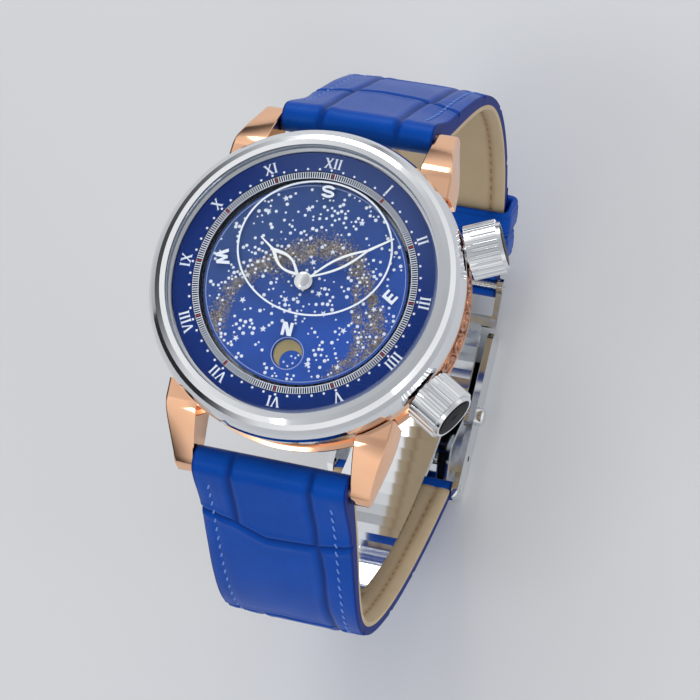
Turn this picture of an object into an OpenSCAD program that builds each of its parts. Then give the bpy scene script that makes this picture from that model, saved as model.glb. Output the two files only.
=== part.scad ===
// Automatic wristwatch with a turning star disc and a folding clasp.
// The watch is closed and stands on the flat face of its clasp, dial up.
// X points to 3 o'clock, Y to 12 o'clock, Z out of the dial.
// The origin is on the flat face of the clasp, straight below the dial's centre.

/* [Case] */
// Outer diameter of the bezel
bezel_d = 43; // [42.6:0.1:46]
// How far the carved flank stands in from the bezel's edge
flank_in = 0.4; // [0.2:0.05:1.1]
// Width between the lugs
lug_gap = 22; // [21:0.1:22.4]
// Distance from the dial's centre to a spring bar
lug_reach = 25; // [24.8:0.1:26]
// Width of a lug where it leaves the case
lug_w = 5.2; // [4.4:0.1:5.6]
// Height of the dial above the flat face of the clasp
dial_z = 82; // [80:0.5:88]
// Thickness of the crystal
crystal_t = 1.15; // [0.9:0.05:1.4]
// Height of the crystal's underside above the dial
hand_room = 1.35; // [1.3:0.05:1.8]

/* [Dial] */
// Radius of the turning star disc
sky_r = 13.9; // [13:0.1:14]
// Inner radius of the dial ring
track_r1 = 14.3; // [14.2:0.1:14.4]
// Outer radius of the minute track
track_r2 = 15.25; // [15:0.05:15.4]
// Radius of the moon window
moon_r = 2.1; // [1.6:0.1:2.4]
// Distance from the dial's centre to the moon window
moon_at = 9.8; // [9:0.1:10.4]
// Length of the hour hand
hour_l = 8.7; // [7.5:0.1:9.5]
// Length of the minute hand
minute_l = 13.2; // [12:0.1:13.6]

/* [Crowns] */
// Diameter of a crown
crown_d = 7.4; // [7:0.1:7.8]
// Length of a crown
crown_l = 4.8; // [4.4:0.1:5.2]
// Grooves round a crown
crown_n = 24; // [18:1:30]
// Clock angle of the upper crown in degrees
sky_crown_a = 66; // [62:1:68]
// Clock angle of the lower crown in degrees
time_crown_a = 120; // [116:1:122]

/* [Movement] */
// Room between the movement and the bore of the case
ring_w = 2.1; // [1.6:0.1:2.2]
// Thickness of the main plate
plate_t = 2; // [1.8:0.1:2.2]
// Teeth of the spring barrel
barrel_n = 72; // [72]
// Teeth of the centre wheel
centre_n = 64; // [64]
// Teeth of the third wheel
third_n = 60; // [60]
// Teeth of the fourth wheel
fourth_n = 70; // [70]
// Radius of the balance wheel
balance_r = 4.3; // [4:0.1:4.4]

/* [Strap] */
// Width of the strap at the lugs
strap_w = 21.6; // [20.6:0.1:21.7]
// Width of the strap at the clasp
strap_end_w = 19.4; // [18:0.1:19.6]
// Thickness of the strap at the lugs
strap_t = 4.4; // [4:0.1:4.6]
// Thickness of the strap at the clasp
strap_end_t = 2.4; // [2.2:0.1:2.6]
// Thickness of the lining
lining_t = 0.9; // [0.7:0.1:1]
// How much thinner the padded leather is at its edges than in the middle
crown_drop = 1.3; // [0.8:0.1:1.6]
// Reach of the lower strap half from the dial's centre
knee_6 = 38.9; // [37:0.1:42]
// Reach of the upper strap half from the dial's centre
knee_12 = 42.9; // [40:0.1:45]
// Width of a keeper along the strap
keeper_w = 4.2; // [3.8:0.1:5]
// Wall of a keeper
keeper_t = 1.2; // [1:0.1:1.3]

/* [Clasp] */
// Width of the clasp cover
clasp_w = 22; // [21.6:0.1:23]
// Length of the flat face that the watch stands on
clasp_l = 26; // [24:0.5:28]
// Height of the cover's side walls
clasp_h = 5.2; // [5:0.1:5.6]
// Wall of the cover
clasp_t = 0.95; // [0.8:0.05:1.05]
// Thickness of the two folding blades
blade_t = 0.9; // [0.7:0.05:1]
// Width of the long blade
blade_w = 13; // [11:0.5:14]
// Radius of the spring bars of the clasp
bar_r = 0.75; // [0.6:0.05:0.8]

/* [Hidden] */
$fn = 96;
gold = "#d99a6c";
steel = "#d5d8dc";
blue = "#1440b0";
brass = "#d0b060";

// Running clearance of a shaft in its hole, and the gap between neighbours
run = 0.05;
gap = 0.3;

// Heights from the dial's face, downwards negative
dial_t = 0.4;
bezel_bottom = -2.4;
plate_top = -3.3;
plate_bottom = plate_top - plate_t;
stem_z = (plate_top + plate_bottom) / 2;
bridge_top = plate_bottom - 2.2;
bridge_t = 0.8;
bridge_bottom = bridge_top - bridge_t;
rotor_top = bridge_bottom - 0.45;
glass_top = rotor_top - 1.35;
back_t = 1.2;
back_z = glass_top - back_t;
lug_bar_z = -8.3;
bore_r = bezel_d / 2 - 3.9;
flank_d = bezel_d - 2 * flank_in;
back_r = flank_d / 2 - 0.5;
move_r = bore_r - ring_w;
view_r = bore_r - 2.3;

// Places that the strap and the clasp share, as [y, z] above the clasp's face
bar_6 = [-lug_reach, dial_z + lug_bar_z];
bar_12 = [lug_reach, dial_z + lug_bar_z];
knee_z = dial_z * 0.49;
cover_y0 = -11.5;
cover_y1 = cover_y0 + 28.4;
pin_6 = [cover_y0 + 1.6, 3.1];
hinge_at = [cover_y0 + 7.1, clasp_t + 1.3];
end_at = [cover_y1 + 7.1, 6];
pin_r = 0.5;
knuckle_r = 1;

// Points and headings of the two strap halves, as cubic curves
function bez(p, t) = p[0] * pow(1 - t, 3) + p[1] * 3 * t * pow(1 - t, 2)
    + p[2] * 3 * t * t * (1 - t) + p[3] * pow(t, 3);
function head(a) = [cos(a), sin(a)];
knee_at_6 = [-knee_6, knee_z + 3.5];
knee_at_12 = [knee_12, knee_z - 3.5];
function curve_6(u) = u < 0.5
    ? bez([bar_6, bar_6 + 17 * head(-118), knee_at_6 - 8 * head(-91), knee_at_6], 2 * u)
    : bez([knee_at_6, knee_at_6 + 11 * head(-91), pin_6 - 22 * head(-39.5), pin_6], 2 * u - 1);
function curve_12(u) = u < 0.5
    ? bez([bar_12, bar_12 + 15 * head(-60), knee_at_12 - 13 * head(-88), knee_at_12], 2 * u)
    : bez([knee_at_12, knee_at_12 + 12 * head(-88), end_at - 13.5 * head(-158), end_at], 2 * u - 1);
// Unit normal that points into the wrist opening
function unit(v) = v / norm(v);
function turn90(v) = [-v[1], v[0]];
function normal_6(u) = turn90(unit(curve_6(min(u + 0.01, 1)) - curve_6(max(u - 0.01, 0))));
function normal_12(u) = -turn90(unit(curve_12(min(u + 0.01, 1)) - curve_12(max(u - 0.01, 0))));
// Thickness and half width along a strap half
function ease(u) = let(v = min(max(u, 0), 1)) v * v * (3 - 2 * v);
function strap_thick(u) = strap_t + (strap_end_t - strap_t) * ease(u / 0.45);
function strap_half(u) = (strap_w + (strap_end_w - strap_w) * ease(u)) / 2;
function steps(a, b, n) = [for (i = [0:n]) a + (b - a) * i / n];

// A bent strip of even width: the outline is drawn in Y and Z and stretched along X
module strip(points, width) {
    rotate([90, 0, 90]) translate([0, 0, -width / 2]) linear_extrude(width) polygon(points);
}
module along_x(length, r) { rotate([0, 90, 0]) cylinder(r = r, h = length, center = true); }
module at_yz(p) { translate([0, p[0], p[1]]) children(); }
module in_case() { translate([0, 0, dial_z]) children(); }
module ring(r1, r2, z1, z2) {
    translate([0, 0, z1]) difference() {
        cylinder(r = r2, h = z2 - z1);
        translate([0, 0, -1]) cylinder(r = r1, h = z2 - z1 + 2);
    }
}
module disc(r, z1, z2) { translate([0, 0, z1]) cylinder(r = r, h = z2 - z1); }

// Case
module bezel() color(steel) in_case() rotate_extrude() polygon(concat(
    [[crystal_seat_r, 0.85], [crystal_seat_r - 0.45, 0.85], [crystal_seat_r - 0.45, 0.25],
     [bore_r + 0.4, 0.25], [bore_r + 0.4, bezel_bottom], [bezel_d / 2 - 0.35, bezel_bottom]],
    [for (a = [0:15:105]) [bezel_d / 2 - 2.9 + 2.9 * cos(a - 12), -1.6 + 3.75 * sin(a - 12)]],
    [[crystal_seat_r, 1.95]]));
crystal_seat_r = bezel_d / 2 - 2.75;
crystal_r = crystal_seat_r - 0.25;
dial_r = bore_r + 0.35;
module crystal() color("#e8f4ff", 0.35) in_case() rotate_extrude()
    polygon([[0, hand_room], [crystal_r - 0.12, hand_room], [crystal_r, hand_room + 0.12],
             [crystal_r, hand_room + crystal_t - 0.4], [crystal_r - 0.4, hand_room + crystal_t],
             [0, hand_room + crystal_t]]);
module crystal_gasket() color("#f2f2ee") in_case() rotate_extrude()
    polygon([[crystal_seat_r - 0.4, 0.87], [crystal_seat_r - 0.02, 0.87], [crystal_seat_r - 0.02, 1.85],
             [crystal_r + 0.03, 1.85], [crystal_r + 0.03, hand_room - 0.03],
             [crystal_seat_r - 0.4, hand_room - 0.03]]);

// A lug: rings of points across it, from inside the case to its tip, with the outer top edge cut off
lug_tip = lug_reach + 2.7;
lug_root = bezel_d / 2 - 9;
lug_bend = lug_tip - 8.1;
function lug_ring(y) = let(
        t = max(0, (y - lug_bend) / (lug_tip - lug_bend)),
        e = pow(max(0, 1 - (lug_tip - y) / 1.4), 2),
        top = -3 - 5 * pow(t, 2.6),
        low = -9.1 - 1.7 * ease((y - lug_tip + 10.7) / 7.5) + 1.5 * e,
        w = lug_w - 1.9 * pow(max(0, (y - lug_tip + 11) / 11), 1.3) - 0.5 * e,
        cut = 0.95 - 0.45 * t)
    [for (p = [[0, top], [w - cut, top], [w, top - cut], [w, low + 0.4], [w - 0.4, low], [0, low]])
        [lug_gap / 2 + p[0], y, p[1]]];
module lug() difference() {
    loft([for (y = concat([lug_root, lug_bend - 3], steps(lug_bend, lug_tip - 1.4, 9),
        [lug_tip - 0.9, lug_tip - 0.4, lug_tip])) lug_ring(y)], true);
    translate([lug_gap / 2 - 1, lug_reach, lug_bar_z]) rotate([0, 90, 0]) cylinder(r = 0.5, h = 2.6);
}
module case_middle() color(gold) in_case() difference() {
    union() {
        rotate_extrude() polygon([[bore_r, -9.6], [flank_d / 2 - 0.5, -9.6], [flank_d / 2, -9.1],
            [flank_d / 2, -8.6], [flank_d / 2 - 0.5, -8.4], [flank_d / 2 - 0.5, -3.6],
            [flank_d / 2 + 0.1, -3.5], [bezel_d / 2 - 0.3, -3.1], [bezel_d / 2 - 0.3, bezel_bottom - 0.02],
            [bore_r, bezel_bottom - 0.02]]);
        intersection() {
            for (a = [0, 1], b = [0, 1]) mirror([a, 0, 0]) mirror([0, b, 0]) lug();
            difference() {
                translate([0, 0, -15]) cylinder(r = 2 * lug_tip, h = 15);
                translate([0, 0, -16]) cylinder(r = bore_r + 1, h = 18);
                translate([0, 0, bezel_bottom - 0.02]) cylinder(r = 2 * lug_tip, h = 10);
            }
        }
    }
    for (a = [sky_crown_a, time_crown_a]) crown_axis(a) cylinder(r = tube_r, h = 30);
}

// Crowns: everything is drawn along +Z from the dial's axis and turned to its clock angle
tube_r = 1.25;
crown_r0 = bezel_d / 2 + 0.3;
module crown_axis(a) { rotate([0, 0, -a]) translate([0, 0, stem_z]) rotate([-90, 0, 0]) children(); }
module crown_tubes() color(steel) in_case() for (a = [sky_crown_a, time_crown_a]) crown_axis(a)
    difference() {
        translate([0, 0, bore_r + 0.5]) cylinder(r = tube_r - 0.01, h = crown_r0 + 1.2 - bore_r - 0.5);
        cylinder(r = stem_r + run, h = 40);
    }
stem_r = 0.6;
module crown_body(a) color(steel) in_case() crown_axis(a) translate([0, 0, crown_r0]) difference() {
    union() {
        linear_extrude(crown_l - 0.5) difference() {
            circle(r = crown_d / 2);
            for (i = [0:crown_n - 1]) rotate(360 * i / crown_n) translate([crown_d / 2 + 0.04, 0])
                circle(r = crown_d * 0.042, $fn = 16);
        }
        cylinder(r1 = crown_d / 2 - 0.2, r2 = crown_d / 2 - 0.5, h = crown_l);
    }
    translate([0, 0, -1]) cylinder(r = tube_r + run, h = 2.5);
    translate([0, 0, -1]) cylinder(r = stem_r + 0.01, h = crown_l);
    translate([0, 0, crown_l - 0.3]) cylinder(r = crown_d / 2 - 0.85, h = 1);
}
module crown_cap(a) color("#20242c") in_case() crown_axis(a) translate([0, 0, crown_r0 + crown_l - 0.3])
    rotate_extrude() polygon([[0, 0], [crown_d / 2 - 0.86, 0], [crown_d / 2 - 0.86, 0.2],
        [crown_d / 2 - 1.3, 0.36], [0, 0.42]]);
module time_crown() crown_body(time_crown_a);
module sky_crown() crown_body(sky_crown_a);
module time_crown_cap() crown_cap(time_crown_a);
module sky_crown_cap() crown_cap(sky_crown_a);
crown_wheel_at = 8.8;
module winding_stem() color(steel) in_case() crown_axis(time_crown_a) {
    translate([0, 0, crown_wheel_at - 1.5])
        cylinder(r = stem_r, h = crown_r0 + crown_l - 1.3 - crown_wheel_at + 1.5);
    translate([0, 0, crown_wheel_at + 2.6]) spur(14, 0.24, 1.1, stem_r);
}
module sky_stem() color(steel) in_case() crown_axis(sky_crown_a) {
    translate([0, 0, 11]) cylinder(r = stem_r, h = crown_r0 + crown_l - 1.3 - 11);
    translate([0, 0, 11.6]) spur(12, 0.2, 1, stem_r);
}

// Gears. A tooth is a short trapezium, narrow enough to run with play
function tooth_points(n, m, phase) = [for (i = [0:n - 1], k = [0:3])
    let(a = 360 / n * (i + [-0.29, -0.13, 0.13, 0.29][k]) + phase,
        r = m * n / 2 + (k == 0 || k == 3 ? -1.1 : 0.85) * m) [r * cos(a), r * sin(a)]];
module spur(n, m, t, bore, phase = 0) linear_extrude(t) difference() {
    polygon(tooth_points(n, m, phase));
    circle(r = bore);
}
// Phase that sets a gap of the second gear against a tooth of the first, along direction a
function mesh(n1, phase1, n2, a) = 180 + a + 180 / n2 + (a - phase1) * n1 / n2;
module spokes(n, r1, r2, w) difference() {
    circle(r = r2);
    difference() {
        circle(r = r2 - 0.01);
        circle(r = r1);
        for (i = [0:n - 1]) rotate(360 * i / n) translate([0, -w / 2]) square([r2, w]);
    }
}
// A wheel with spokes, its rim toothed
module wheel(n, m, t, arms, bore, phase = 0) linear_extrude(t) difference() {
    polygon(tooth_points(n, m, phase));
    difference() {
        circle(r = m * n / 2 - 4.2 * m);
        circle(r = bore + 0.7);
        for (i = [0:arms - 1]) rotate(360 * i / arms) translate([0, -0.22]) square([m * n, 0.44]);
    }
    circle(r = bore);
}
function polar(r, a) = [r * cos(a), r * sin(a)];
// A flat bar with round ends from p to q
module bar(p, q, r) {
    translate(p) circle(r = r);
    translate(q) circle(r = r);
    translate(p) rotate(atan2(q[1] - p[1], q[0] - p[0])) translate([0, -r]) square([norm(q - p), 2 * r]);
}

// Wheel centres of the going train, worked out from the teeth and modules
barrel_m = 0.18;
centre_m = 0.15;
third_m = 0.14;
fourth_m = 0.12;
centre_pinion_n = 12;
third_pinion_n = 8;
fourth_pinion_n = 8;
escape_pinion_n = 7;
barrel_a = -80;
third_a = 35;
fourth_a = 115;
escape_a = 180;
pallet_a = 215;
balance_a = 230;
barrel_c = polar((barrel_n + centre_pinion_n) * barrel_m / 2, barrel_a);
third_c = polar((centre_n + third_pinion_n) * centre_m / 2, third_a);
fourth_c = third_c + polar((third_n + fourth_pinion_n) * third_m / 2, fourth_a);
escape_c = fourth_c + polar((fourth_n + escape_pinion_n) * fourth_m / 2, escape_a);
escape_r = 2.2;
pallet_c = escape_c + polar(2.75, pallet_a);
balance_c = pallet_c + polar(3.6, balance_a);
arbor_r = 0.22;
module at(c, z) { translate([c[0], c[1], z]) children(); }
module arbor(c, z1, z2, r = arbor_r) { at(c, z1) cylinder(r = r, h = z2 - z1, $fn = 32); }

// Levels of the train between the plate and the bridge
z_fourth = plate_bottom - 0.4;
z_barrel_teeth = plate_bottom - 0.7;
z_escape = plate_bottom - 0.75;
z_third = plate_bottom - 1.25;
z_pallet_bridge = plate_bottom - 1.2;
z_balance = plate_bottom - 1.7;
z_centre = bridge_top + 0.2;

module barrel() color(brass) in_case() at(barrel_c, 0) {
    difference() {
        union() {
            translate([0, 0, z_barrel_teeth]) spur(barrel_n, barrel_m, 0.4, 1);
            translate([0, 0, plate_bottom - 1.7]) cylinder(r = barrel_m * barrel_n / 2 - 0.4, h = 1.6);
        }
        translate([0, 0, plate_bottom - 1.5]) cylinder(r = barrel_m * barrel_n / 2 - 0.7, h = 1.2);
        translate([0, 0, plate_bottom - 3]) cylinder(r = 0.7, h = 4);
    }
}
// The mainspring is one band wound from the arbor's hook to the barrel's wall
spring_turns = 7;
function spiral(r1, r2, turns, n, off) = [for (i = [0:n])
    polar(r1 + (r2 - r1) * i / n + off, 360 * turns * i / n)];
module mainspring() color(steel) in_case() at(barrel_c, plate_bottom - 1.45) linear_extrude(1)
    let(r2 = barrel_m * barrel_n / 2 - 0.9)
    polygon(concat(spiral(1.75, r2, spring_turns, spring_turns * 16, 0.07),
        [for (i = [spring_turns * 16:-1:0]) spiral(1.75, r2, spring_turns, spring_turns * 16, -0.07)[i]]));
ratchet_n = 36;
ratchet_m = 0.25;
crown_wheel_n = 20;
crown_wheel_c = polar(crown_wheel_at, 90 - time_crown_a);
ratchet_a = atan2(crown_wheel_c[1] - barrel_c[1], crown_wheel_c[0] - barrel_c[0]);
module ratchet_wheel() color(steel) in_case() at(barrel_c, 0) {
    translate([0, 0, bridge_bottom - 0.3]) spur(ratchet_n, ratchet_m, 0.25, 0.3, ratchet_a);
    translate([0, 0, bridge_bottom - 0.3])
        cylinder(r = 0.6, h = -bridge_bottom + plate_bottom + 0.9, $fn = 32);
    translate([0, 0, plate_bottom - 1.45]) cylinder(r = 1.55, h = 1);
}
module crown_wheel() color(steel) in_case() at(crown_wheel_c, 0) {
    difference() {
        translate([0, 0, bridge_bottom - 0.3])
            spur(crown_wheel_n, crown_wheel_m, 0.25, 0.45,
                mesh(ratchet_n, ratchet_a, crown_wheel_n, ratchet_a));
    }
    translate([0, 0, bridge_bottom - 0.3]) difference() {
        cylinder(r = 0.95, h = bridge_t + 0.2);
        translate([0, 0, -1]) cylinder(r = 0.45, h = 3);
    }
}
crown_wheel_m = 2 * (norm(crown_wheel_c - barrel_c) - ratchet_n * ratchet_m / 2) / crown_wheel_n;
module centre_wheel() color(brass) in_case() {
    translate([0, 0, z_centre]) wheel(centre_n, centre_m, 0.15, 4, 0.3, third_a);
    translate([0, 0, z_barrel_teeth - 0.15])
        spur(centre_pinion_n, barrel_m, 0.7, 0.3, mesh(barrel_n, 0, centre_pinion_n, barrel_a + 180) );
    arbor([0, 0], bridge_top - 0.5, -0.5, 0.4);
}
module third_wheel() color(brass) in_case() at(third_c, 0) {
    translate([0, 0, z_third]) wheel(third_n, third_m, 0.15, 4, 0.2, fourth_a);
    translate([0, 0, z_centre - 0.05]) spur(third_pinion_n, centre_m, 0.5, 0.15,
        mesh(centre_n, third_a, third_pinion_n, third_a));
    arbor([0, 0], bridge_top - 0.5, plate_bottom + 0.5);
}
module fourth_wheel() color(brass) in_case() at(fourth_c, 0) {
    translate([0, 0, z_fourth]) wheel(fourth_n, fourth_m, 0.15, 4, 0.2, escape_a);
    translate([0, 0, z_third - 0.15]) spur(fourth_pinion_n, third_m, 0.5, 0.15,
        mesh(third_n, fourth_a, fourth_pinion_n, fourth_a));
    arbor([0, 0], bridge_top - 0.5, plate_bottom + 0.5);
}
escape_n = 15;
module escape_wheel() color(steel) in_case() at(escape_c, 0) {
    translate([0, 0, z_escape]) linear_extrude(0.15) difference() {
        polygon([for (i = [0:escape_n - 1], k = [0:3]) polar(escape_r + [-0.55, 0, -0.04, -0.6][k],
            360 / escape_n * (i + [-0.2, 0.16, 0.3, 0.22][k]) + pallet_a + 12)]);
        difference() {
            circle(r = escape_r - 0.9);
            circle(r = 0.6);
            for (i = [0:3]) rotate(90 * i) translate([0, -0.15]) square([escape_r, 0.3]);
        }
    }
    translate([0, 0, z_fourth - 0.1]) spur(escape_pinion_n, fourth_m, 0.4, 0.1,
        mesh(fourth_n, escape_a, escape_pinion_n, escape_a));
    arbor([0, 0], bridge_top - 0.5, plate_bottom + 0.5, 0.18);
}
module pallet_fork() color(steel) in_case() at(pallet_c, 0) {
    translate([0, 0, z_escape]) linear_extrude(0.15) {
        circle(r = 0.45);
        for (s = [-1, 1]) bar([0, 0], polar(1.48, pallet_a + 180 + s * 62), 0.14);
        bar([0, 0], polar(1.9, balance_a), 0.15);
        for (s = [-1, 1]) translate(polar(1.9, balance_a)) rotate(balance_a + s * 32) square([0.75, 0.14]);
    }
    for (s = [-1, 1]) translate(polar(1.45, pallet_a + 180 + s * 62)) translate([0, 0, z_escape - 0.12])
        rotate(pallet_a + 180 + s * 8) translate([-0.3, -0.12, 0]) cube([0.42, 0.24, 0.36]);
    arbor([0, 0], z_pallet_bridge - 0.1, plate_bottom + 0.4, 0.15);
}
module balance_wheel() color(brass) in_case() at(balance_c, 0) {
    translate([0, 0, z_balance]) linear_extrude(0.35) difference() {
        circle(r = balance_r);
        difference() {
            circle(r = balance_r - 0.55);
            circle(r = 0.55);
            for (i = [0:2]) rotate(120 * i + 40) translate([0, -0.25]) square([balance_r, 0.5]);
        }
    }
    translate([0, 0, z_escape - 0.25]) difference() {
        cylinder(r = 1.05, h = 0.2);
        rotate(balance_a + 180) translate([0.95, 0, -1]) cylinder(r = 0.3, h = 3);
    }
    arbor([0, 0], bridge_bottom + 0.25, plate_bottom + 0.5, 0.17);
}
// The hairspring is one flat spiral from the collet to the stud
hair_turns = 9;
z_hair = bridge_top + 0.12;
module hairspring() color("#4060c0") in_case() at(balance_c, z_hair) linear_extrude(0.18) {
    polygon(concat(spiral(0.45, 2.25, hair_turns, hair_turns * 14, 0.025),
        [for (i = [hair_turns * 14:-1:0]) spiral(0.45, 2.25, hair_turns, hair_turns * 14, -0.025)[i]]));
    difference() {
        circle(r = 0.48);
        circle(r = 0.19);
    }
}

// Hands' gears under the dial
motion_m = 0.16;
cannon_n = 12;
minute_n = 36;
minute_pinion_n = 10;
hour_n = 40;
motion_a = 200;
motion_d = (cannon_n + minute_n) * motion_m / 2;
hour_m = 2 * motion_d / (minute_pinion_n + hour_n);
sky_m = 0.2;
sky_pinion_n = 16;
sky_wheel_n = 32;
sky_n = 24;
sky_disc_pinion_n = 24;
moon_n = 25;
moon_pinion_n = 23;
sky_a = 60;
sky_d = (sky_pinion_n + sky_wheel_n) * sky_m / 2;
pipe_r = [0.45, 0.75, 1.05, 1.35, 1.65];
z_minute = plate_top + 0.15;
z_hour = z_minute + 0.4;
z_sky_wheel = z_hour + 0.35;
z_sky_gear = z_sky_wheel + 0.29;
z_moon_gear = z_sky_gear + 0.25;
z_moon = -1.3;
z_sky = -0.95;
module pipe(i, z1, z2) { translate([0, 0, z1]) difference() {
    cylinder(r = pipe_r[i] - run, h = z2 - z1, $fn = 48);
    translate([0, 0, -1]) cylinder(r = pipe_r[i - 1] , h = z2 - z1 + 2, $fn = 48);
} }
z_hour_hand = 0.28;
z_minute_hand = 0.62;
module cannon_pinion() color(steel) in_case() {
    pipe(1, z_minute - 0.1, z_minute_hand);
    translate([0, 0, z_minute - 0.1]) spur(cannon_n, motion_m, 0.4, pipe_r[1] - run, motion_a);
}
module minute_wheel() color(brass) in_case() at(polar(motion_d, motion_a), 0) {
    translate([0, 0, z_minute]) wheel(minute_n, motion_m, 0.2, 4, 0.35,
        mesh(cannon_n, motion_a, minute_n, motion_a));
    translate([0, 0, z_minute + 0.2]) spur(minute_pinion_n, hour_m, 0.5, 0.35, motion_a + 180);
}
module hour_wheel() color(brass) in_case() {
    translate([0, 0, z_hour]) wheel(hour_n, hour_m, 0.2, 4, pipe_r[1] + 0.02,
        mesh(minute_pinion_n, motion_a + 180, hour_n, motion_a + 180));
    translate([0, 0, z_hour + 0.2]) spur(sky_pinion_n, sky_m, 0.35, pipe_r[1] + 0.02, sky_a);
    pipe(2, z_hour, z_hour_hand);
}
module sky_drive_wheel() color(brass) in_case() at(polar(sky_d, sky_a), 0) {
    translate([0, 0, z_sky_wheel]) wheel(sky_wheel_n, sky_m, 0.2, 4, 0.35,
        mesh(sky_pinion_n, sky_a, sky_wheel_n, sky_a));
    translate([0, 0, z_sky_wheel + 0.2]) spur(sky_disc_pinion_n, sky_m, 0.3, 0.35, sky_a + 180);
    translate([0, 0, z_sky_wheel + 0.5]) spur(moon_pinion_n, sky_m, 0.22, 0.35, sky_a + 180);
}
// The star disc has a round window over the moon disc
module star_disc() color(blue) in_case() {
    translate([0, 0, z_sky]) linear_extrude(0.2) difference() {
        circle(r = sky_r);
        circle(r = pipe_r[2]);
        translate([0, -moon_at]) circle(r = moon_r);
    }
    pipe(3, z_sky_gear, z_sky + 0.1);
    translate([0, 0, z_sky_gear]) spur(sky_n, sky_m, 0.18, pipe_r[2] + 0.02,
        mesh(sky_disc_pinion_n, sky_a + 180, sky_n, sky_a + 180));
}
module moon_disc() color("#1a2a60") in_case() {
    translate([0, 0, z_moon]) linear_extrude(0.2) difference() {
        circle(r = moon_at + moon_r + 0.6);
        circle(r = pipe_r[3]);
    }
    pipe(4, z_moon_gear, z_moon + 0.1);
    translate([0, 0, z_moon_gear]) spur(moon_n, sky_m, 0.18, pipe_r[3] + 0.02,
        mesh(moon_pinion_n, sky_a + 180, moon_n, sky_a + 180));
}
module dial() color(blue) in_case() rotate_extrude()
    polygon([[track_r1, -0.95], [track_r2, -0.95], [track_r2 + 0.3, -dial_t], [dial_r, -dial_t], [dial_r, 0],
             [track_r2 + 0.15, 0], [track_r2, -0.12], [track_r1, -0.12]]);
module horizon_glass() color("#e8f4ff", 0.3) in_case() ring(1.2, track_r1 - 0.02, -0.5, -0.15);
// Open leaf hands: pale outline round a leaf-shaped window
hand_w = 0.36;
minute_angle = 54.4;
hour_angle = 300 + minute_angle / 12;
module leaf_hand(l, leaf_from, leaf_to, half, hub, bore, angle, z, t) color("white") in_case()
    rotate([0, 0, -angle]) translate([0, 0, z]) linear_extrude(t) difference() {
        union() {
            circle(r = hub);
            polygon([[-0.35, 0], [-0.35, leaf_from + 0.6], [0.35, leaf_from + 0.6], [0.35, 0]]);
            polygon([[-0.22, leaf_to - 0.6], [-0.1, l], [0.1, l], [0.22, leaf_to - 0.6]]);
            leaf(leaf_from, leaf_to, half);
        }
        leaf(leaf_from + 0.9, leaf_to - 0.9, half - hand_w);
        circle(r = bore);
    }
module leaf(y1, y2, half) polygon(concat(
    [for (i = [0:12]) [half * pow(sin(15 * i), 0.9), y1 + (y2 - y1) * i / 12]],
    [for (i = [11:-1:1]) [-half * pow(sin(15 * i), 0.9), y1 + (y2 - y1) * i / 12]]));
module hour_hand()
    leaf_hand(hour_l, 0.6, hour_l - 2.3, 1.15, 1.4, pipe_r[2] - run + 0.01,
        hour_angle, z_hour_hand - 0.1, 0.18);
module minute_hand()
    leaf_hand(minute_l, 0.7, minute_l - 4.4, 0.92, 1.1, pipe_r[1] - run + 0.01,
        minute_angle, z_minute_hand - 0.1, 0.16);
module hand_cap() color(steel) in_case() difference() {
    translate([0, 0, z_minute_hand + 0.07]) intersection() {
        cylinder(r = 1, h = 0.45);
        translate([0, 0, -2.45]) sphere(r = 2.9);
    }
    translate([0, 0, z_minute_hand - 1]) cylinder(r = 0.3, h = 1.2);
}

// Plates and bridges
module main_plate() color("#c9ccd2") in_case() difference() {
    union() {
        disc(move_r, plate_bottom, plate_top);
        arbor(polar(motion_d, motion_a), plate_top - 0.5, z_minute + 0.65, 0.3);
        arbor(polar(sky_d, sky_a), plate_top - 0.5, z_sky_wheel + 0.68, 0.3);
    }
    cylinder(r = 0.45, h = 20, center = true);
    for (c = [third_c, fourth_c, escape_c, pallet_c, balance_c]) at(c, -20) cylinder(r = 0.7, h = 30);
    at(barrel_c, plate_bottom - 0.01) cylinder(r = 0.65, h = 1);
    translate([0, 0, plate_top - 0.05]) cylinder(r = 1.2, h = 2);
    for (a = [sky_crown_a, time_crown_a]) crown_axis(a) {
        translate([0, 0, (a == time_crown_a ? crown_wheel_at : 11) - 3]) cylinder(r = stem_r + run, h = 40);
        translate([-2, -2, a == time_crown_a ? crown_wheel_at + 1 : 11]) cube([4, 4, 3.2]);
    }
    for (c = post_at) at(c, plate_bottom - 1) cylinder(r = 0.31, h = 1.6);
}
post_at = [for (a = [-125, -35, 62]) polar(move_r - 1.5, a), polar(move_r - 1.9, 118)];
cock_post = polar(move_r - 1.9, 172);
module train_bridge() color("#d9dbe0") in_case() difference() {
    union() {
        difference() {
            disc(move_r - 0.2, bridge_bottom, bridge_top);
            at(balance_c, bridge_bottom - 1) cylinder(r = balance_r + 0.5, h = 3);
            translate([-30, -5, bridge_bottom - 1]) rotate(0) cube([30 + balance_c[0], 16, 3]);
        }
        for (c = post_at) at(c, bridge_bottom) cylinder(r = 1.1, h = plate_bottom - bridge_bottom);
    }
    for (c = post_at) at(c, bridge_bottom - 1) cylinder(r = 0.31, h = 20);
    for (c = [third_c, fourth_c, escape_c]) at(c, -20) cylinder(r = 0.7, h = 30);
    translate([0, 0, -20]) cylinder(r = 0.45, h = 30);
    at(barrel_c, -20) cylinder(r = 0.65, h = 30);
    at(crown_wheel_c, -20) cylinder(r = 1, h = 30);
}
module pallet_bridge() color("#d9dbe0") in_case() difference() {
    union() {
        translate([0, 0, z_pallet_bridge]) linear_extrude(0.25)
            bar(pallet_c, pallet_c + polar(3.4, 120), 0.7);
        at(pallet_c + polar(3.4, 120), z_pallet_bridge) cylinder(r = 0.7, h = plate_bottom - z_pallet_bridge);
    }
    at(pallet_c, z_pallet_bridge - 1) cylinder(r = 0.2, h = 3);
}
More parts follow.
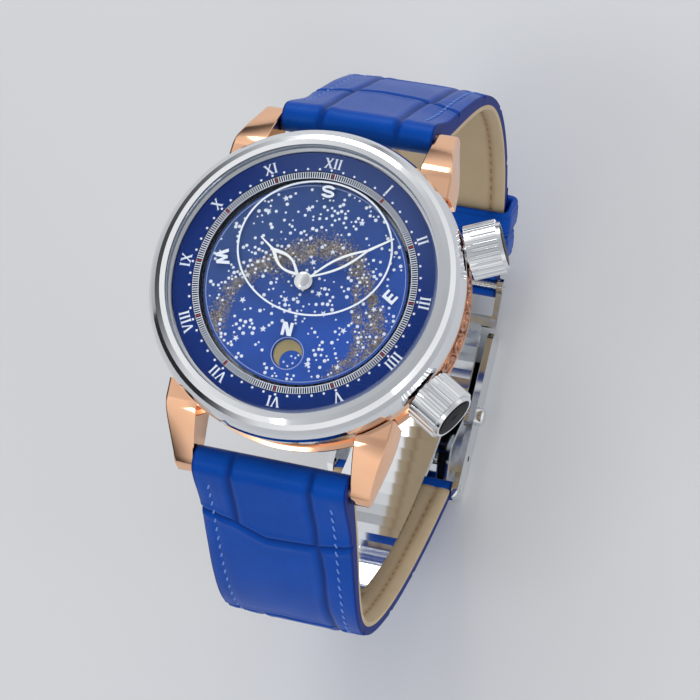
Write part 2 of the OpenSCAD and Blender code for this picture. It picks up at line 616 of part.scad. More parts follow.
module balance_cock() color("#d9dbe0") in_case() difference() {
    union() {
        translate([0, 0, bridge_bottom - 0.1]) linear_extrude(bridge_t - 0.1) bar(balance_c, cock_post, 1.5);
        at(cock_post, bridge_bottom - 0.1) cylinder(r = 1.3, h = plate_bottom - bridge_bottom + 0.1);
    }
    at(balance_c, -20) cylinder(r = 0.7, h = 30);
    at(cock_post, -20) cylinder(r = 0.31, h = 30);
}
module jewel(c, z, hole) { at(c, z) difference() {
    cylinder(r = 0.69, h = 0.35, $fn = 48);
    translate([0, 0, -1]) cylinder(r = hole + 0.03, h = 3, $fn = 32);
} }
module jewels() color("#b01040") in_case() {
    for (c = [third_c, fourth_c]) jewel(c, bridge_top - 0.4, arbor_r);
    for (c = [third_c, fourth_c]) jewel(c, plate_bottom + 0.05, arbor_r);
    jewel(escape_c, bridge_top - 0.4, 0.18);
    jewel(escape_c, plate_bottom + 0.05, 0.18);
    jewel(balance_c, bridge_bottom + 0.1, 0.17);
    jewel(balance_c, plate_bottom + 0.05, 0.17);
    jewel(pallet_c, plate_bottom + 0.05, 0.15);
}
module screw_at(c, z) { at(c, z) difference() {
    union() {
        cylinder(r = 0.75, h = 0.3, $fn = 40);
        cylinder(r = 0.3, h = 2.7, $fn = 32);
    }
    translate([-1, -0.09, -0.01]) cube([2, 0.18, 0.16]);
} }
module movement_screws() color("#3050a0") in_case() {
    for (c = post_at) screw_at(c, bridge_bottom - 0.3);
    screw_at(cock_post, bridge_bottom - 0.4);
}

// Winding rotor: a thin sector plate with a heavy rim
rotor_r = move_r - 0.3;
hub_r = 1.6;
module rotor_bearing() color(steel) in_case() difference() {
    union() {
        disc(hub_r, rotor_top - 0.5, rotor_top + 0.3);
        disc(0.9, rotor_top - 0.5, bridge_bottom);
    }
    translate([-2, -0.2, rotor_top - 0.6]) cube([4, 0.4, 0.25]);
}
module rotor() color("#d6b37a") in_case() difference() {
    union() {
        translate([0, 0, rotor_top - 0.3]) linear_extrude(0.3) half_plane(rotor_r);
        translate([0, 0, rotor_top - 0.85]) linear_extrude(0.85) difference() {
            half_plane(rotor_r);
            circle(r = rotor_r - 2.6);
        }
        disc(hub_r + 1.1, rotor_top - 0.3, rotor_top);
    }
    translate([0, 0, rotor_top - 3]) cylinder(r = hub_r + run, h = 6);
    for (a = [-50, -25, 0, 25, 50]) rotate(a - 90)
        translate([7.6, 0, rotor_top - 3]) cylinder(r = 1.5, h = 6);
}
module half_plane(r) intersection() {
    circle(r = r);
    polygon([[0, 0.4], [-r * 1.2, 3], [-r * 1.5, -r * 1.5], [r * 1.5, -r * 1.5], [r * 1.2, 3]]);
}
module movement_ring() color("#b8bcc4") in_case() difference() {
    ring(move_r + 0.03, bore_r - 0.02, plate_bottom, -dial_t - 0.02);
    translate([0, 0, -20]) cylinder(r = move_r, h = 60);
    for (a = [sky_crown_a, time_crown_a]) crown_axis(a) cylinder(r = stem_r + 0.3, h = 40);
}
module case_back() color(steel) in_case() difference() {
    rotate_extrude() polygon([[view_r - 0.9, back_z], [back_r - 0.8, back_z], [back_r - 0.1, back_z + 0.7],
        [back_r, -9.62],
        [bore_r - 0.05, -9.62], [bore_r - 0.05, -9.2], [bore_r - 1.2, -9.2], [bore_r - 1.2, glass_top],
        [view_r + 0.05, glass_top], [view_r + 0.05, back_z + 0.25], [view_r - 0.9, back_z + 0.25]]);
    for (i = [0:5]) rotate(60 * i + 30) translate([bore_r + 0.1, 0, back_z]) {
        translate([0, 0, -1]) cylinder(r = 0.75, h = 1.45);
        translate([0, 0, -1]) cylinder(r = 0.41, h = 9);
    }
}
module case_back_glass() color("#e8f4ff", 0.35) in_case() disc(view_r, back_z + 0.27, glass_top);
module case_back_screws() color("#b8bcc4") in_case() for (i = [0:5]) rotate(60 * i + 30)
    translate([bore_r + 0.1, 0, back_z + 0.05])
    difference() {
        union() {
            cylinder(r = 0.7, h = 0.35, $fn = 40);
            cylinder(r = 0.4, h = 1.4, $fn = 32);
        }
        translate([-1, -0.09, -0.01]) cube([2, 0.18, 0.16]);
    }
module lug_spring_bars() color(steel) for (p = [bar_6, bar_12]) at_yz(p) {
    along_x(lug_gap - 0.1, 0.7);
    along_x(lug_gap + 2.6, 0.42);
}

// Strap. Each ring of points crosses the strap: flat inside, domed outside
arch_n = 10;
function strap_ring(c, n, half, inner, mid, edge) = concat(
    [[-half, c[0] + n[0] * inner, c[1] + n[1] * inner], [half, c[0] + n[0] * inner, c[1] + n[1] * inner]],
    [for (i = [0:arch_n]) let(x = half * cos(180 * i / arch_n),
            o = edge + (mid - edge) * pow(sin(180 * i / arch_n), 0.8))
        [x, c[0] - n[0] * o, c[1] - n[1] * o]]);
module loft(given, flip = false) {
    rings = flip ? [for (r = given) [for (i = [len(r) - 1:-1:0]) r[i]]] : given;
    m = len(rings[0]);
    last = len(rings) - 1;
    polyhedron(points = [for (r = rings, p = r) p],
        faces = concat(
            [for (i = [1:m - 2]) [0, i + 1, i]],
            [for (i = [1:m - 2]) [last * m, last * m + i, last * m + i + 1]],
            [for (j = [0:last - 1], i = [0:m - 1]) let(k = (i + 1) % m)
                [j * m + i, j * m + k, (j + 1) * m + k]],
            [for (j = [0:last - 1], i = [0:m - 1]) let(k = (i + 1) % m)
                [j * m + i, (j + 1) * m + k, (j + 1) * m + i]]));
}
strap_n = 44;
lining_n = 40;
function drop(u) = 0.3 + (crown_drop - 0.3) * (strap_thick(u) - strap_end_t) / (strap_t - strap_end_t);
function leather_ring_6(u) = strap_ring(curve_6(u), normal_6(u), strap_half(u),
    strap_thick(u) / 2 - lining_t, strap_thick(u) / 2, strap_thick(u) / 2 - drop(u));
function leather_ring_12(u) = strap_ring(curve_12(u), normal_12(u), strap_half(u),
    strap_thick(u) / 2 - lining_t, strap_thick(u) / 2, strap_thick(u) / 2 - drop(u));
// Four corners of the lining at one place along the strap
function lining_ring(c, n, half, t) = [for (k = [[-1, 1], [1, 1], [1, 0], [-1, 0]])
    let(o = t / 2 - lining_t + 0.01 + k[1] * (lining_t - 0.01))
        [k[0] * half, c[0] + n[0] * o, c[1] + n[1] * o]];
module strap_6_leather() color(blue) difference() {
    union() {
        loft([for (u = steps(0, 1, strap_n)) leather_ring_6(u)], true);
        at_yz(bar_6) along_x(strap_w, strap_t / 2 + 0.06);
        at_yz(pin_6) along_x(strap_end_w, strap_end_t / 2);
    }
    at_yz(bar_6) along_x(60, 0.7 + run);
    at_yz(pin_6) along_x(60, bar_r + run);
}
module strap_6_lining() color("#d8bc94")
    loft([for (u = steps(0.021, 0.988, lining_n))
        lining_ring(curve_6(u), normal_6(u), strap_half(u), strap_thick(u))], true);

// The upper half folds round the end bar, and its tail runs back outside through two keepers
tail_t = 1.5;
tail_gap = 0.35;
fold_r = (strap_end_t + tail_gap + tail_t) / 2;
tail_end = 0.79;
float_at = 0.853;
fixed_at = 0.915;
fold_out = fold_r - strap_end_t / 2;
function tail_ring(u) = let(c = curve_12(u), n = normal_12(u), h = strap_half(u) - 0.1,
        o = strap_end_t / 2 + tail_gap, e = h * (0.8 + 0.2 * ease((u - tail_end) / 0.03)))
    [for (k = [[-1, 0], [1, 0], [1, 1], [-1, 1]])
        let(v = o + k[1] * (tail_t - (1 - ease((u - tail_end) / 0.02)) * 0.5))
        [k[0] * e, c[0] - n[0] * v, c[1] - n[1] * v]];
fold_c = end_at - normal_12(1) * fold_out;
function seat_cut() = let(n = normal_12(1), t = unit(curve_12(0.99) - curve_12(1)), w = bar_r + run)
    [end_at - t * w, end_at - t * (w + 1.2) + n * 4, end_at + t * (w + 1.2) + n * 4, end_at + t * w];
module strap_12_leather() color(blue) difference() {
    union() {
        loft([for (u = steps(0, 1, strap_n)) leather_ring_12(u)]);
        loft([for (u = steps(tail_end, 1, 14)) tail_ring(u)]);
        at_yz(bar_12) along_x(strap_w, strap_t / 2 + 0.06);
        at_yz(fold_c) along_x(strap_end_w, fold_r);
    }
    at_yz(bar_12) along_x(60, 0.7 + run);
    at_yz(end_at) along_x(60, bar_r + run);
    strip(seat_cut(), 60);
}
module strap_12_lining() color("#d8bc94") loft([for (u = steps(0.021, 0.962, lining_n))
    lining_ring(curve_12(u), normal_12(u), strap_half(u), strap_thick(u))]);

// A keeper is a flat loop round the strap and the tail
module keeper(u, w, slack) {
    c = curve_12(u);
    n = normal_12(u);
    half = strap_half(u) + slack;
    up = strap_end_t / 2 + slack;
    down = strap_end_t / 2 + tail_gap + tail_t + slack;
    at_yz(c) rotate([atan2(n[1], n[0]) - 90, 0, 0]) difference() {
        translate([0, w / 2, 0]) rotate([90, 0, 0]) linear_extrude(w) difference() {
            keeper_outline(half + keeper_t, up + keeper_t, down + keeper_t, 1.4);
            keeper_outline(half, up, down, 0.5);
        }
    }
}
module keeper_outline(half, up, down, r) union() {
    translate([-half + r, -down]) square([2 * half - 2 * r, up + down]);
    translate([-half, -down + r]) square([2 * half, up + down - 2 * r]);
    for (sx = [-1, 1], y = [-down + r, up - r]) translate([sx * (half - r), y]) circle(r = r, $fn = 32);
}
module fixed_keeper() color(blue) keeper(fixed_at, keeper_w, 0.12);
module floating_keeper() color(blue) keeper(float_at, keeper_w, 0.32);

// Folding clasp
wall_t = 1;
in_w = clasp_w / 2 - wall_t;
ear_x = [3.3, 5.3];
knuckle_x = 3;
button_at = [2.6, 3.1];
button_r = 1.5;
module clasp_cover() color(steel) difference() {
    union() {
        difference() {
            intersection() {
                strip([[cover_y0, 1.3], [cover_y0 + 0.35, 0.45], [cover_y0 + 1.2, 0],
                       [cover_y0 + 1.2 + clasp_l, 0],
                       [cover_y1 - 0.35, 0.45], [cover_y1, 1.3], [cover_y1, 2.2],
                       [cover_y1 - 0.6, clasp_h - 0.8],
                       [cover_y1 - 1.6, clasp_h], [cover_y0 + 1.4, clasp_h], [cover_y0 + 0.2, clasp_h - 1],
                       [cover_y0, clasp_h - 2]], clasp_w);
                translate([0, 0, -1]) linear_extrude(clasp_h + 2) cover_plan();
            }
            translate([-in_w, cover_y0 - 1, clasp_t]) cube([2 * in_w, cover_y1 - cover_y0 + 2, clasp_h]);
        }
        for (sx = [-1, 1]) translate([sx * (ear_x[0] + ear_x[1]) / 2, 0, 0]) {
            at_yz(hinge_at) along_x(ear_x[1] - ear_x[0], knuckle_r);
            translate([-(ear_x[1] - ear_x[0]) / 2, hinge_at[0] - knuckle_r, clasp_t - 0.1])
                cube([ear_x[1] - ear_x[0], 2 * knuckle_r, hinge_at[1] - clasp_t + 0.1]);
        }
        translate([-rest_w / 2, rest_y, clasp_t - 0.1]) cube([rest_w, 4, base_low - gap - clasp_t + 0.1]);
    }
    at_yz(pin_6) along_x(60, bar_r + 0.01);
    at_yz(hinge_at) along_x(60, pin_r + 0.01);
    at_yz(button_at) along_x(60, button_r + run);
}
module cover_plan() translate([0, (cover_y0 + cover_y1) / 2]) union() {
    l = cover_y1 - cover_y0;
    translate([-clasp_w / 2 + 1.2, -l / 2]) square([clasp_w - 2.4, l]);
    translate([-clasp_w / 2, -l / 2 + 1.2]) square([clasp_w, l - 2.4]);
    for (sx = [-1, 1], sy = [-1, 1])
        translate([sx * (clasp_w / 2 - 1.2), sy * (l / 2 - 1.2)]) circle(r = 1.2);
}
module cover_pins() color(steel) {
    at_yz(pin_6) along_x(clasp_w - 0.2, bar_r);
    at_yz(hinge_at) along_x(2 * ear_x[1], pin_r);
}
module button(side) color(steel)
    translate([side * in_w, button_at[0], button_at[1]]) rotate([0, side * 90, 0]) {
    translate([0, 0, -0.8]) cylinder(r = button_r + 0.4, h = 0.7);
    translate([0, 0, -0.8]) cylinder(r = button_r, h = wall_t + 1.7);
    translate([0, 0, wall_t + 0.9]) cylinder(r1 = button_r, r2 = button_r - 0.3, h = 0.3);
}
module left_button() button(-1);
module right_button() button(1);

// The blades follow the inner side of the lower strap half from the far fold to the cover
fold_u = 0.65;
blade_gap = 0.28;
mid_w = 11;
blade_lift = 0.45;
mid_off = blade_lift + blade_t / 2;
base_off = blade_lift + 1.5 * blade_t + blade_gap;
function over_6(u, o) = curve_6(u) + normal_6(u) * (strap_thick(u) / 2 + o);
fold_at = over_6(fold_u, (mid_off + base_off) / 2);
function join(p, q, ha, la, hb, lb, n) = [for (t = steps(0, 1, n)) bez([p, p + la * ha, q - lb * hb, q], t)];
function tangent(pts, i) = unit(pts[min(i + 1, len(pts) - 1)] - pts[max(i - 1, 0)]);
function band(pts, t) = concat(
    [for (i = [0:len(pts) - 1]) pts[i] + turn90(tangent(pts, i)) * t / 2],
    [for (i = [len(pts) - 1:-1:0]) pts[i] - turn90(tangent(pts, i)) * t / 2]);
mid_leave = 0.925;
mid_run = [for (u = steps(fold_u, mid_leave, 24)) over_6(u, mid_off)];
mid_head = tangent(mid_run, len(mid_run) - 1);
mid_path = concat(mid_run,
    [for (i = [1:10]) join(mid_run[24], hinge_at, mid_head, 2.5, head(-30), 2.2, 10)[i]]);
module middle_blade() color(steel) difference() {
    union() {
        difference() {
            strip(band(mid_path, blade_t), mid_w);
            at_yz(fold_at) along_x(2 * knuckle_x + 0.4, knuckle_r + 0.35);
            for (sx = [-1, 1])
                translate([sx * (knuckle_x + 5.1), 0, 0]) at_yz(hinge_at) along_x(10, knuckle_r + 0.4);
        }
        for (sx = [-1, 1]) translate([sx * (knuckle_x + 0.2 + mid_w / 2) / 2, 0, 0])
            at_yz(fold_at) along_x(mid_w / 2 - knuckle_x - 0.2, knuckle_r);
        at_yz(hinge_at) along_x(2 * knuckle_x, knuckle_r);
    }
    at_yz(fold_at) along_x(60, pin_r + 0.01);
    at_yz(hinge_at) along_x(60, pin_r + run);
}
module fold_pin() color(steel) at_yz(fold_at) along_x(mid_w, pin_r);
base_leave = 0.8;
base_flat = [5, 3.75];
base_run = [for (u = steps(fold_u, base_leave, 16)) over_6(u, base_off)];
base_head = tangent(base_run, len(base_run) - 1);
base_path = concat(base_run,
    [for (i = [1:16]) join(base_run[16], base_flat, base_head, 9, head(-3), 7, 16)[i]],
    [for (i = [1:14]) join(base_flat, end_at, head(-3), 8, head(14), 7, 14)[i]]);
base_low = base_flat[1] - blade_t / 2 - 0.25;
rest_w = 12;
rest_y = 7;
plate_w = 8.6;
frame_y = cover_y1 + 0.35;
frame_in = strap_end_w / 2 + 0.3;
boss_r = 1.35;
module base_plan() difference() {
    union() {
        translate([-blade_w / 2, -80]) square([blade_w, 88]);
        polygon([[-blade_w / 2, -2], [-plate_w, 5.5], [-plate_w, frame_y + 1], [plate_w, frame_y + 1],
                 [plate_w, 5.5], [blade_w / 2, -2]]);
        translate([-clasp_w / 2, frame_y]) square([clasp_w, end_at[0] - frame_y + 3]);
    }
    translate([0, 10.6]) scale([0.8, 1]) circle(r = 5.6);
    translate([-frame_in, frame_y + 1.7]) square([2 * frame_in, 20]);
}
module base_blade() color(steel) difference() {
    union() {
        intersection() {
            strip(band(base_path, blade_t), clasp_w);
            translate([0, 0, -1]) linear_extrude(dial_z) base_plan();
        }
        at_yz(fold_at) along_x(2 * knuckle_x, knuckle_r);
        for (sx = [-1, 1]) translate([sx * (frame_in + clasp_w / 2) / 2, 0, 0])
            at_yz(end_at) along_x(clasp_w / 2 - frame_in, boss_r);
    }
    for (sx = [-1, 1]) translate([sx * (knuckle_x + 5.1), 0, 0]) at_yz(fold_at) along_x(10, knuckle_r + 0.35);
    at_yz(fold_at) along_x(60, pin_r + run);
    at_yz(end_at) along_x(60, bar_r + 0.01);
}
module end_bar() color(steel) at_yz(end_at) along_x(clasp_w - 0.1, bar_r);

case_middle();
bezel();
crystal();
crystal_gasket();
movement_ring();
case_back();
case_back_glass();
case_back_screws();
crown_tubes();
lug_spring_bars();
dial();
horizon_glass();
star_disc();
moon_disc();
hour_hand();
minute_hand();
hand_cap();
cannon_pinion();
minute_wheel();
hour_wheel();
sky_drive_wheel();
main_plate();
train_bridge();
pallet_bridge();
balance_cock();
movement_screws();
jewels();
barrel();
mainspring();
ratchet_wheel();
crown_wheel();
centre_wheel();
third_wheel();
fourth_wheel();
escape_wheel();
pallet_fork();
balance_wheel();
hairspring();
rotor_bearing();
rotor();
winding_stem();
time_crown();
time_crown_cap();
sky_stem();
sky_crown();
sky_crown_cap();
strap_12_leather();
strap_12_lining();
fixed_keeper();
floating_keeper();
strap_6_leather();
strap_6_lining();
clasp_cover();
cover_pins();
left_button();
right_button();
middle_blade();
fold_pin();
base_blade();
end_bar();
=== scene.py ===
"""Looks of a mechanical wristwatch with a turning star disc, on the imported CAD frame."""

import math

import bmesh
import bpy
import numpy as np
from bpy.props import FloatProperty, FloatVectorProperty, IntProperty, PointerProperty
from mathutils import Matrix, Vector
from mathutils.geometry import tessellate_polygon


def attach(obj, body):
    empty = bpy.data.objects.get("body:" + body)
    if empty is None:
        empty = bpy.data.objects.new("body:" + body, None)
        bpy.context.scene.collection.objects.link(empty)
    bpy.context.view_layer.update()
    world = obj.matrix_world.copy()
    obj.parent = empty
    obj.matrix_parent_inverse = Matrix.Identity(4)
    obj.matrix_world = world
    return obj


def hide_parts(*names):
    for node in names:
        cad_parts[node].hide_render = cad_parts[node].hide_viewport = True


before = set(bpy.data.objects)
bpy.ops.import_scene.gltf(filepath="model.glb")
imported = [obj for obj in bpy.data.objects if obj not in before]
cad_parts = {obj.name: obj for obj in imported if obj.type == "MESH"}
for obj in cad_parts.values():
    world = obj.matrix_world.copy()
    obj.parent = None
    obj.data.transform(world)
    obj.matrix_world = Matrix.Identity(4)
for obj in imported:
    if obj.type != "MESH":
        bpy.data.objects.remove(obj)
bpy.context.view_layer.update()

bl_info = {
    "name": "Star disc wristwatch",
    "version": (1, 0, 0),
    "blender": (4, 5, 0),
    "location": "View3D > Sidebar > Watch",
    "description": "Builds the dial print, strap, carving and finishes of a wristwatch",
    "category": "Object",
}

MM = 0.001
DIAL_Z = 82.0
TAU = 2 * math.pi


# Sums on the sockets of a node tree
def sum_method(operation, swapped=False):
    """A method of Wire that adds one Math node."""
    if swapped:
        return lambda self, other: self.graph.math(operation, other, self)
    return lambda self, other: self.graph.math(operation, self, other)


class Wire:
    """A socket of a node tree that takes part in Python sums."""

    def __init__(self, graph, socket):
        self.graph = graph
        self.socket = socket

    __add__, __radd__ = sum_method("ADD"), sum_method("ADD", True)
    __sub__, __rsub__ = sum_method("SUBTRACT"), sum_method("SUBTRACT", True)
    __mul__, __rmul__ = sum_method("MULTIPLY"), sum_method("MULTIPLY", True)
    __truediv__ = sum_method("DIVIDE")
    __mod__ = sum_method("FLOORED_MODULO")


class Graph:
    """A node tree with one call for every kind of node."""

    def __init__(self, tree):
        self.tree = tree

    def node(self, kind, settings=None, sockets=None, out=0):
        """Adds a node with its settings and inputs, and gives one of its outputs."""
        made = self.tree.nodes.new(kind)
        settings = dict(settings or {})
        stops = settings.pop("stops", None)
        for key, value in settings.items():
            setattr(made, key, value)
        if stops:
            ramp = made.color_ramp
            while len(ramp.elements) < len(stops):
                ramp.elements.new(0.5)
            for element, (position, colour) in zip(ramp.elements, stops):
                element.position = position
                element.color = (*colour[:3], 1)
        for key, value in (sockets or {}).items():
            self.feed(made.inputs[key], value)
        return Wire(self, made.outputs[out]) if len(made.outputs) else None

    def feed(self, socket, value):
        """Links a wire to an input, or writes a plain value into it."""
        if isinstance(value, Wire):
            self.tree.links.new(value.socket, socket)
        elif socket.type == "RGBA" and len(value) == 3:
            socket.default_value = (*value, 1)
        else:
            socket.default_value = value

    def math(self, operation, *values):
        return self.node("ShaderNodeMath", {"operation": operation}, dict(enumerate(values)))

    def mix(self, share, first, second):
        return self.node(
            "ShaderNodeMix", {"data_type": "RGBA"}, {0: share, 6: first, 7: second}, out=2
        )

    def place(self):
        return self.node("ShaderNodeTexCoord", out="Object")

    def parts(self, vector):
        made = self.tree.nodes.new("ShaderNodeSeparateXYZ")
        self.feed(made.inputs[0], vector)
        return [Wire(self, made.outputs[i]) for i in range(3)]

    def stretched(self, vector, scale=(1, 1, 1), turn=(0, 0, 0)):
        return self.node(
            "ShaderNodeMapping", sockets={"Vector": vector, "Scale": scale, "Rotation": turn}
        )

    def noise(self, vector, size_mm, detail=2.0, roughness=0.5):
        return self.node(
            "ShaderNodeTexNoise",
            sockets={
                "Vector": vector,
                "Scale": 1 / (size_mm * MM),
                "Detail": detail,
                "Roughness": roughness,
            },
        )

    def cells(self, vector, size_mm, feature="F1", out="Distance"):
        return self.node(
            "ShaderNodeTexVoronoi",
            {"feature": feature},
            {"Vector": vector, "Scale": 1 / (size_mm * MM)},
            out=out,
        )

    def between(self, value, low, high):
        """Rises softly from 0 at low to 1 at high."""
        return self.node(
            "ShaderNodeMapRange",
            {"interpolation_type": "SMOOTHSTEP"},
            {0: value, 1: low, 2: high, 3: 0.0, 4: 1.0},
        )

    def bump(self, height, depth_mm, strength):
        return self.node(
            "ShaderNodeBump",
            sockets={"Strength": strength, "Distance": depth_mm * MM, "Height": height},
        )


def shade(hex_colour):
    """A written sRGB colour as the linear one that sockets take."""
    parts = [int(hex_colour[i : i + 2], 16) / 255 for i in (1, 3, 5)]
    return tuple(v / 12.92 if v <= 0.04045 else ((v + 0.055) / 1.055) ** 2.4 for v in parts)


def tone(colour, factor):
    """A colour made lighter or darker."""
    return tuple(min(1.0, v * factor) for v in colour)


def strap():
    return bpy.context.scene.watch_strap


def finish(name):
    """The material of one finish, made when it is first asked for."""
    if name in bpy.data.materials:
        return bpy.data.materials[name]
    made = bpy.data.materials.new(name)
    made.use_nodes = True
    made.node_tree.nodes.clear()
    graph = Graph(made.node_tree)
    sockets = FINISHES[name](graph, graph.place())
    shader = graph.node("ShaderNodeBsdfPrincipled", sockets=sockets)
    graph.node("ShaderNodeOutputMaterial", sockets={"Surface": shader})
    return made


# Recipes of the finishes: each takes a graph and the place on the object, and gives the sockets
# of the surface shader. Sizes and depths are in millimetres.
def grained(dark, light, size, rough, spread, depth, strength, detail=3, stretch=None, fine=0.5,
            extra=()):
    """An even finish whose colour, roughness and bump follow one noise."""

    def recipe(g, place):
        spot = place if stretch is None else g.stretched(place, stretch)
        grain = g.noise(spot, size, detail, fine)
        return {
            "Base Color": g.mix(grain, shade(dark), shade(light)),
            "Roughness": rough + grain * spread,
            "Normal": g.bump(grain, depth, strength),
            **dict(extra),
        }

    return recipe


def polished(dark, light, wear_size, hair_size, stretch, rough, wear_rough, hair_rough, depth,
             strength):
    """Bright metal with soft clouds of wear and fine hairlines."""

    def recipe(g, place):
        wear = g.noise(place, wear_size, 3)
        hair = g.noise(g.stretched(place, stretch), hair_size, 3)
        return {
            "Base Color": g.mix(wear, shade(dark), shade(light)),
            "Metallic": 1.0,
            "Roughness": rough + wear * wear_rough + g.between(hair, 0.62, 0.8) * hair_rough,
            "Normal": g.bump(hair, depth, strength),
        }

    return recipe


def striped(dark, light, way, pitch, turn, rough, grain_share):
    """Metal with parallel waves across it, as on finished plates."""

    def recipe(g, place):
        x, y, _ = g.parts(place)
        wave = g.math("SINE", (x * way[0] + y * way[1]) / MM * (TAU / pitch))
        grain = g.noise(g.stretched(place, (1, 1, 1), (0, 0, turn)), 0.5, 4)
        return {
            "Base Color": g.mix(wave * 0.5 + 0.5, shade(dark), shade(light)),
            "Metallic": 1.0,
            "Roughness": rough + grain * 0.16,
            "Normal": g.bump(wave + grain * grain_share, 0.012, 0.5),
        }

    return recipe


def carved_gold(g, place):
    """Gold on the scrolls, darker than the case's rose gold as painted shade, and a dark brown
    painted shade in the hollows.
    """
    grain = g.noise(place, 0.16, 4, 0.7)
    hollow_shade = g.node("ShaderNodeAttribute", {"attribute_name": "hollow_shade"}, out="Fac")
    return {
        # Painted shade: this mask darkens the colour and dulls the metal between the scrolls.
        "Base Color": g.mix(hollow_shade * (0.8 + grain * 0.4), shade("#bb8265"), shade("#2c0f09")),
        "Metallic": 1.0 - hollow_shade * 0.85,
        "Roughness": 0.13 + hollow_shade * 0.3,
        "Normal": g.bump(grain, 0.02, 0.5),
    }


def clear_sapphire(g, place):
    """Nearly clear over the dial, and faintly visible on its rim."""
    x, y, _ = g.parts(place)
    radius = g.math("SQRT", x * x + y * y) / MM
    rim = g.between(radius, 17.9, 18.4)
    smear = g.noise(place, 3.0, 3)
    return {
        "Base Color": g.mix(rim, shade("#f4f8ff"), shade("#c8d6e8")),
        "Metallic": 1.0,
        "Roughness": 0.012 + smear * 0.02,
        "Alpha": 0.006 + rim * 0.2,
    }


def dial_lacquer(g, place):
    """Blue with fine rays, a painted sheen of greyer blue towards the upper right, and dark under
    the track of ticks.
    """
    x, y, _ = g.parts(place)
    radius = g.math("SQRT", x * x + y * y) / MM
    angle = g.math("ARCTAN2", y, x)
    fan = g.node("ShaderNodeCombineXYZ", sockets={0: angle * 0.12, 1: radius * 0.0002})
    ray = g.noise(fan, 0.9, 3)
    speck = g.between(g.noise(place, 0.1, 2), 0.66, 0.78)
    band = g.between(radius, 15.3, 15.45)
    colour = g.mix(ray, shade("#0a2564"), shade("#11307e"))
    # Painted sheen: a greyer, paler blue mixed in towards the upper right stands in for reflected
    # light.
    sheen = g.between(x / MM * 0.45 + y / MM, 4.0, 21.0)
    colour = g.mix(sheen * 0.75, colour, shade("#48598a"))
    colour = g.mix(band, shade("#060a20"), colour)
    return {
        "Base Color": g.mix(speck * 0.16, colour, shade("#5a78d8")),
        "Roughness": 0.3 + ray * 0.1,
        "Specular IOR Level": 0.2,
        "Specular Tint": (0.2, 0.4, 1.0),
        "Normal": g.bump(ray, 0.004, 0.3),
    }


def sky_enamel(g, place):
    """Clouded blue with fine pale dust, and a painted haze of reflected light that turns it greyer
    towards the top and left.
    """
    x, y, _ = g.parts(place)
    cloud = g.noise(place, 9.0, 4, 0.6)
    dust = g.noise(place, 0.14, 3, 0.7)
    # Painted haze: a greyer blue towards the top and left, a clearer blue towards the bottom right.
    side = g.between(x / MM * 0.6 - y / MM, -14.0, 14.0)
    colour = g.mix(side, shade("#364f84"), shade("#2752b0"))
    colour = g.mix(g.between(cloud, 0.42, 0.7) * 0.55, colour, shade("#23408a"))
    return {
        "Base Color": g.mix(g.between(dust, 0.64, 0.8) * 0.3, colour, shade("#7f9ae0")),
        "Roughness": 0.32 + dust * 0.12,
        "Specular IOR Level": 0.2,
        "Specular Tint": (0.3, 0.5, 1.0),
        "Normal": g.bump(dust, 0.003, 0.4),
    }


def dust_print(g, place):
    """Flecks in greys and browns, each of one colour."""
    pick = g.cells(place, 0.16, out="Color")
    level = g.parts(pick)[0]
    ramp = g.node(
        "ShaderNodeValToRGB",
        {
            "stops": [
                (0.0, shade("#33302f")),
                (0.3, shade("#6b6154")),
                (0.55, shade("#7d7f88")),
                (0.75, shade("#857458")),
                (1.0, shade("#bdbab6")),
            ]
        },
        {0: level},
    )
    return {"Base Color": ramp, "Roughness": 0.45 + level * 0.15, "Metallic": 0.2}


def blue_croc(g, place):
    """Blue leather with pores, painted shade in its furrows, and darker on its painted edges."""
    crease = g.node("ShaderNodeAttribute", {"attribute_name": "crease"}, out="Fac")
    rim = g.node("ShaderNodeAttribute", {"attribute_name": "rim"}, out="Fac")
    tint = g.noise(place, 7.0, 4, 0.6)
    pore = g.cells(place, 0.42, "DISTANCE_TO_EDGE")
    fine = g.noise(place, 0.16, 4, 0.65)
    line = g.between(pore, 0.0, 0.16)
    leather, deep = (tuple(v) for v in (strap().leather, strap().furrow))
    colour = g.mix(tint, tone(leather, 0.75), tone(leather, 1.2))
    # Painted shade: the furrow colour darkens the leather where the crease mask marks a furrow.
    colour = g.mix(crease * 0.6, colour, deep)
    colour = g.mix(rim, colour, shade("#0a2270"))
    return {
        "Base Color": g.mix((1 - line) * 0.18, colour, shade("#052a80")),
        "Roughness": 0.3 + fine * 0.14 + crease * 0.12 + rim * 0.2,
        "Specular IOR Level": 0.22,
        "Specular Tint": (0.3, 0.55, 1.0),
        "Normal": g.bump(line * 0.6 + fine * 0.5, 0.02, 0.55),
    }


def tan_calf(g, place):
    """Pale tan leather, darker where a seam presses it."""
    tint = g.noise(place, 5.0, 4, 0.6)
    pore = g.cells(place, 0.3, "DISTANCE_TO_EDGE")
    fine = g.noise(place, 0.12, 4, 0.7)
    press = g.node("ShaderNodeAttribute", {"attribute_name": "crease"}, out="Fac")
    colour = g.mix(tint, tone(strap().lining, 0.88), tone(strap().lining, 1.1))
    return {
        "Base Color": g.mix(press * 0.5, colour, shade("#8d6c48")),
        "Roughness": 0.62 + fine * 0.2,
        "Normal": g.bump(g.between(pore, 0.0, 0.2) * 0.6 + fine * 0.6, 0.03, 0.6),
    }


def floor_paint(g, place):
    floor = bpy.context.scene.watch_stage.floor
    cloud = g.noise(place, 260.0, 3)
    fine = g.noise(place, 1.2, 3)
    return {
        "Base Color": g.mix(cloud, tone(floor, 0.95), tone(floor, 1.03)),
        "Roughness": 0.5 + fine * 0.15,
        "Normal": g.bump(fine, 0.02, 0.2),
    }


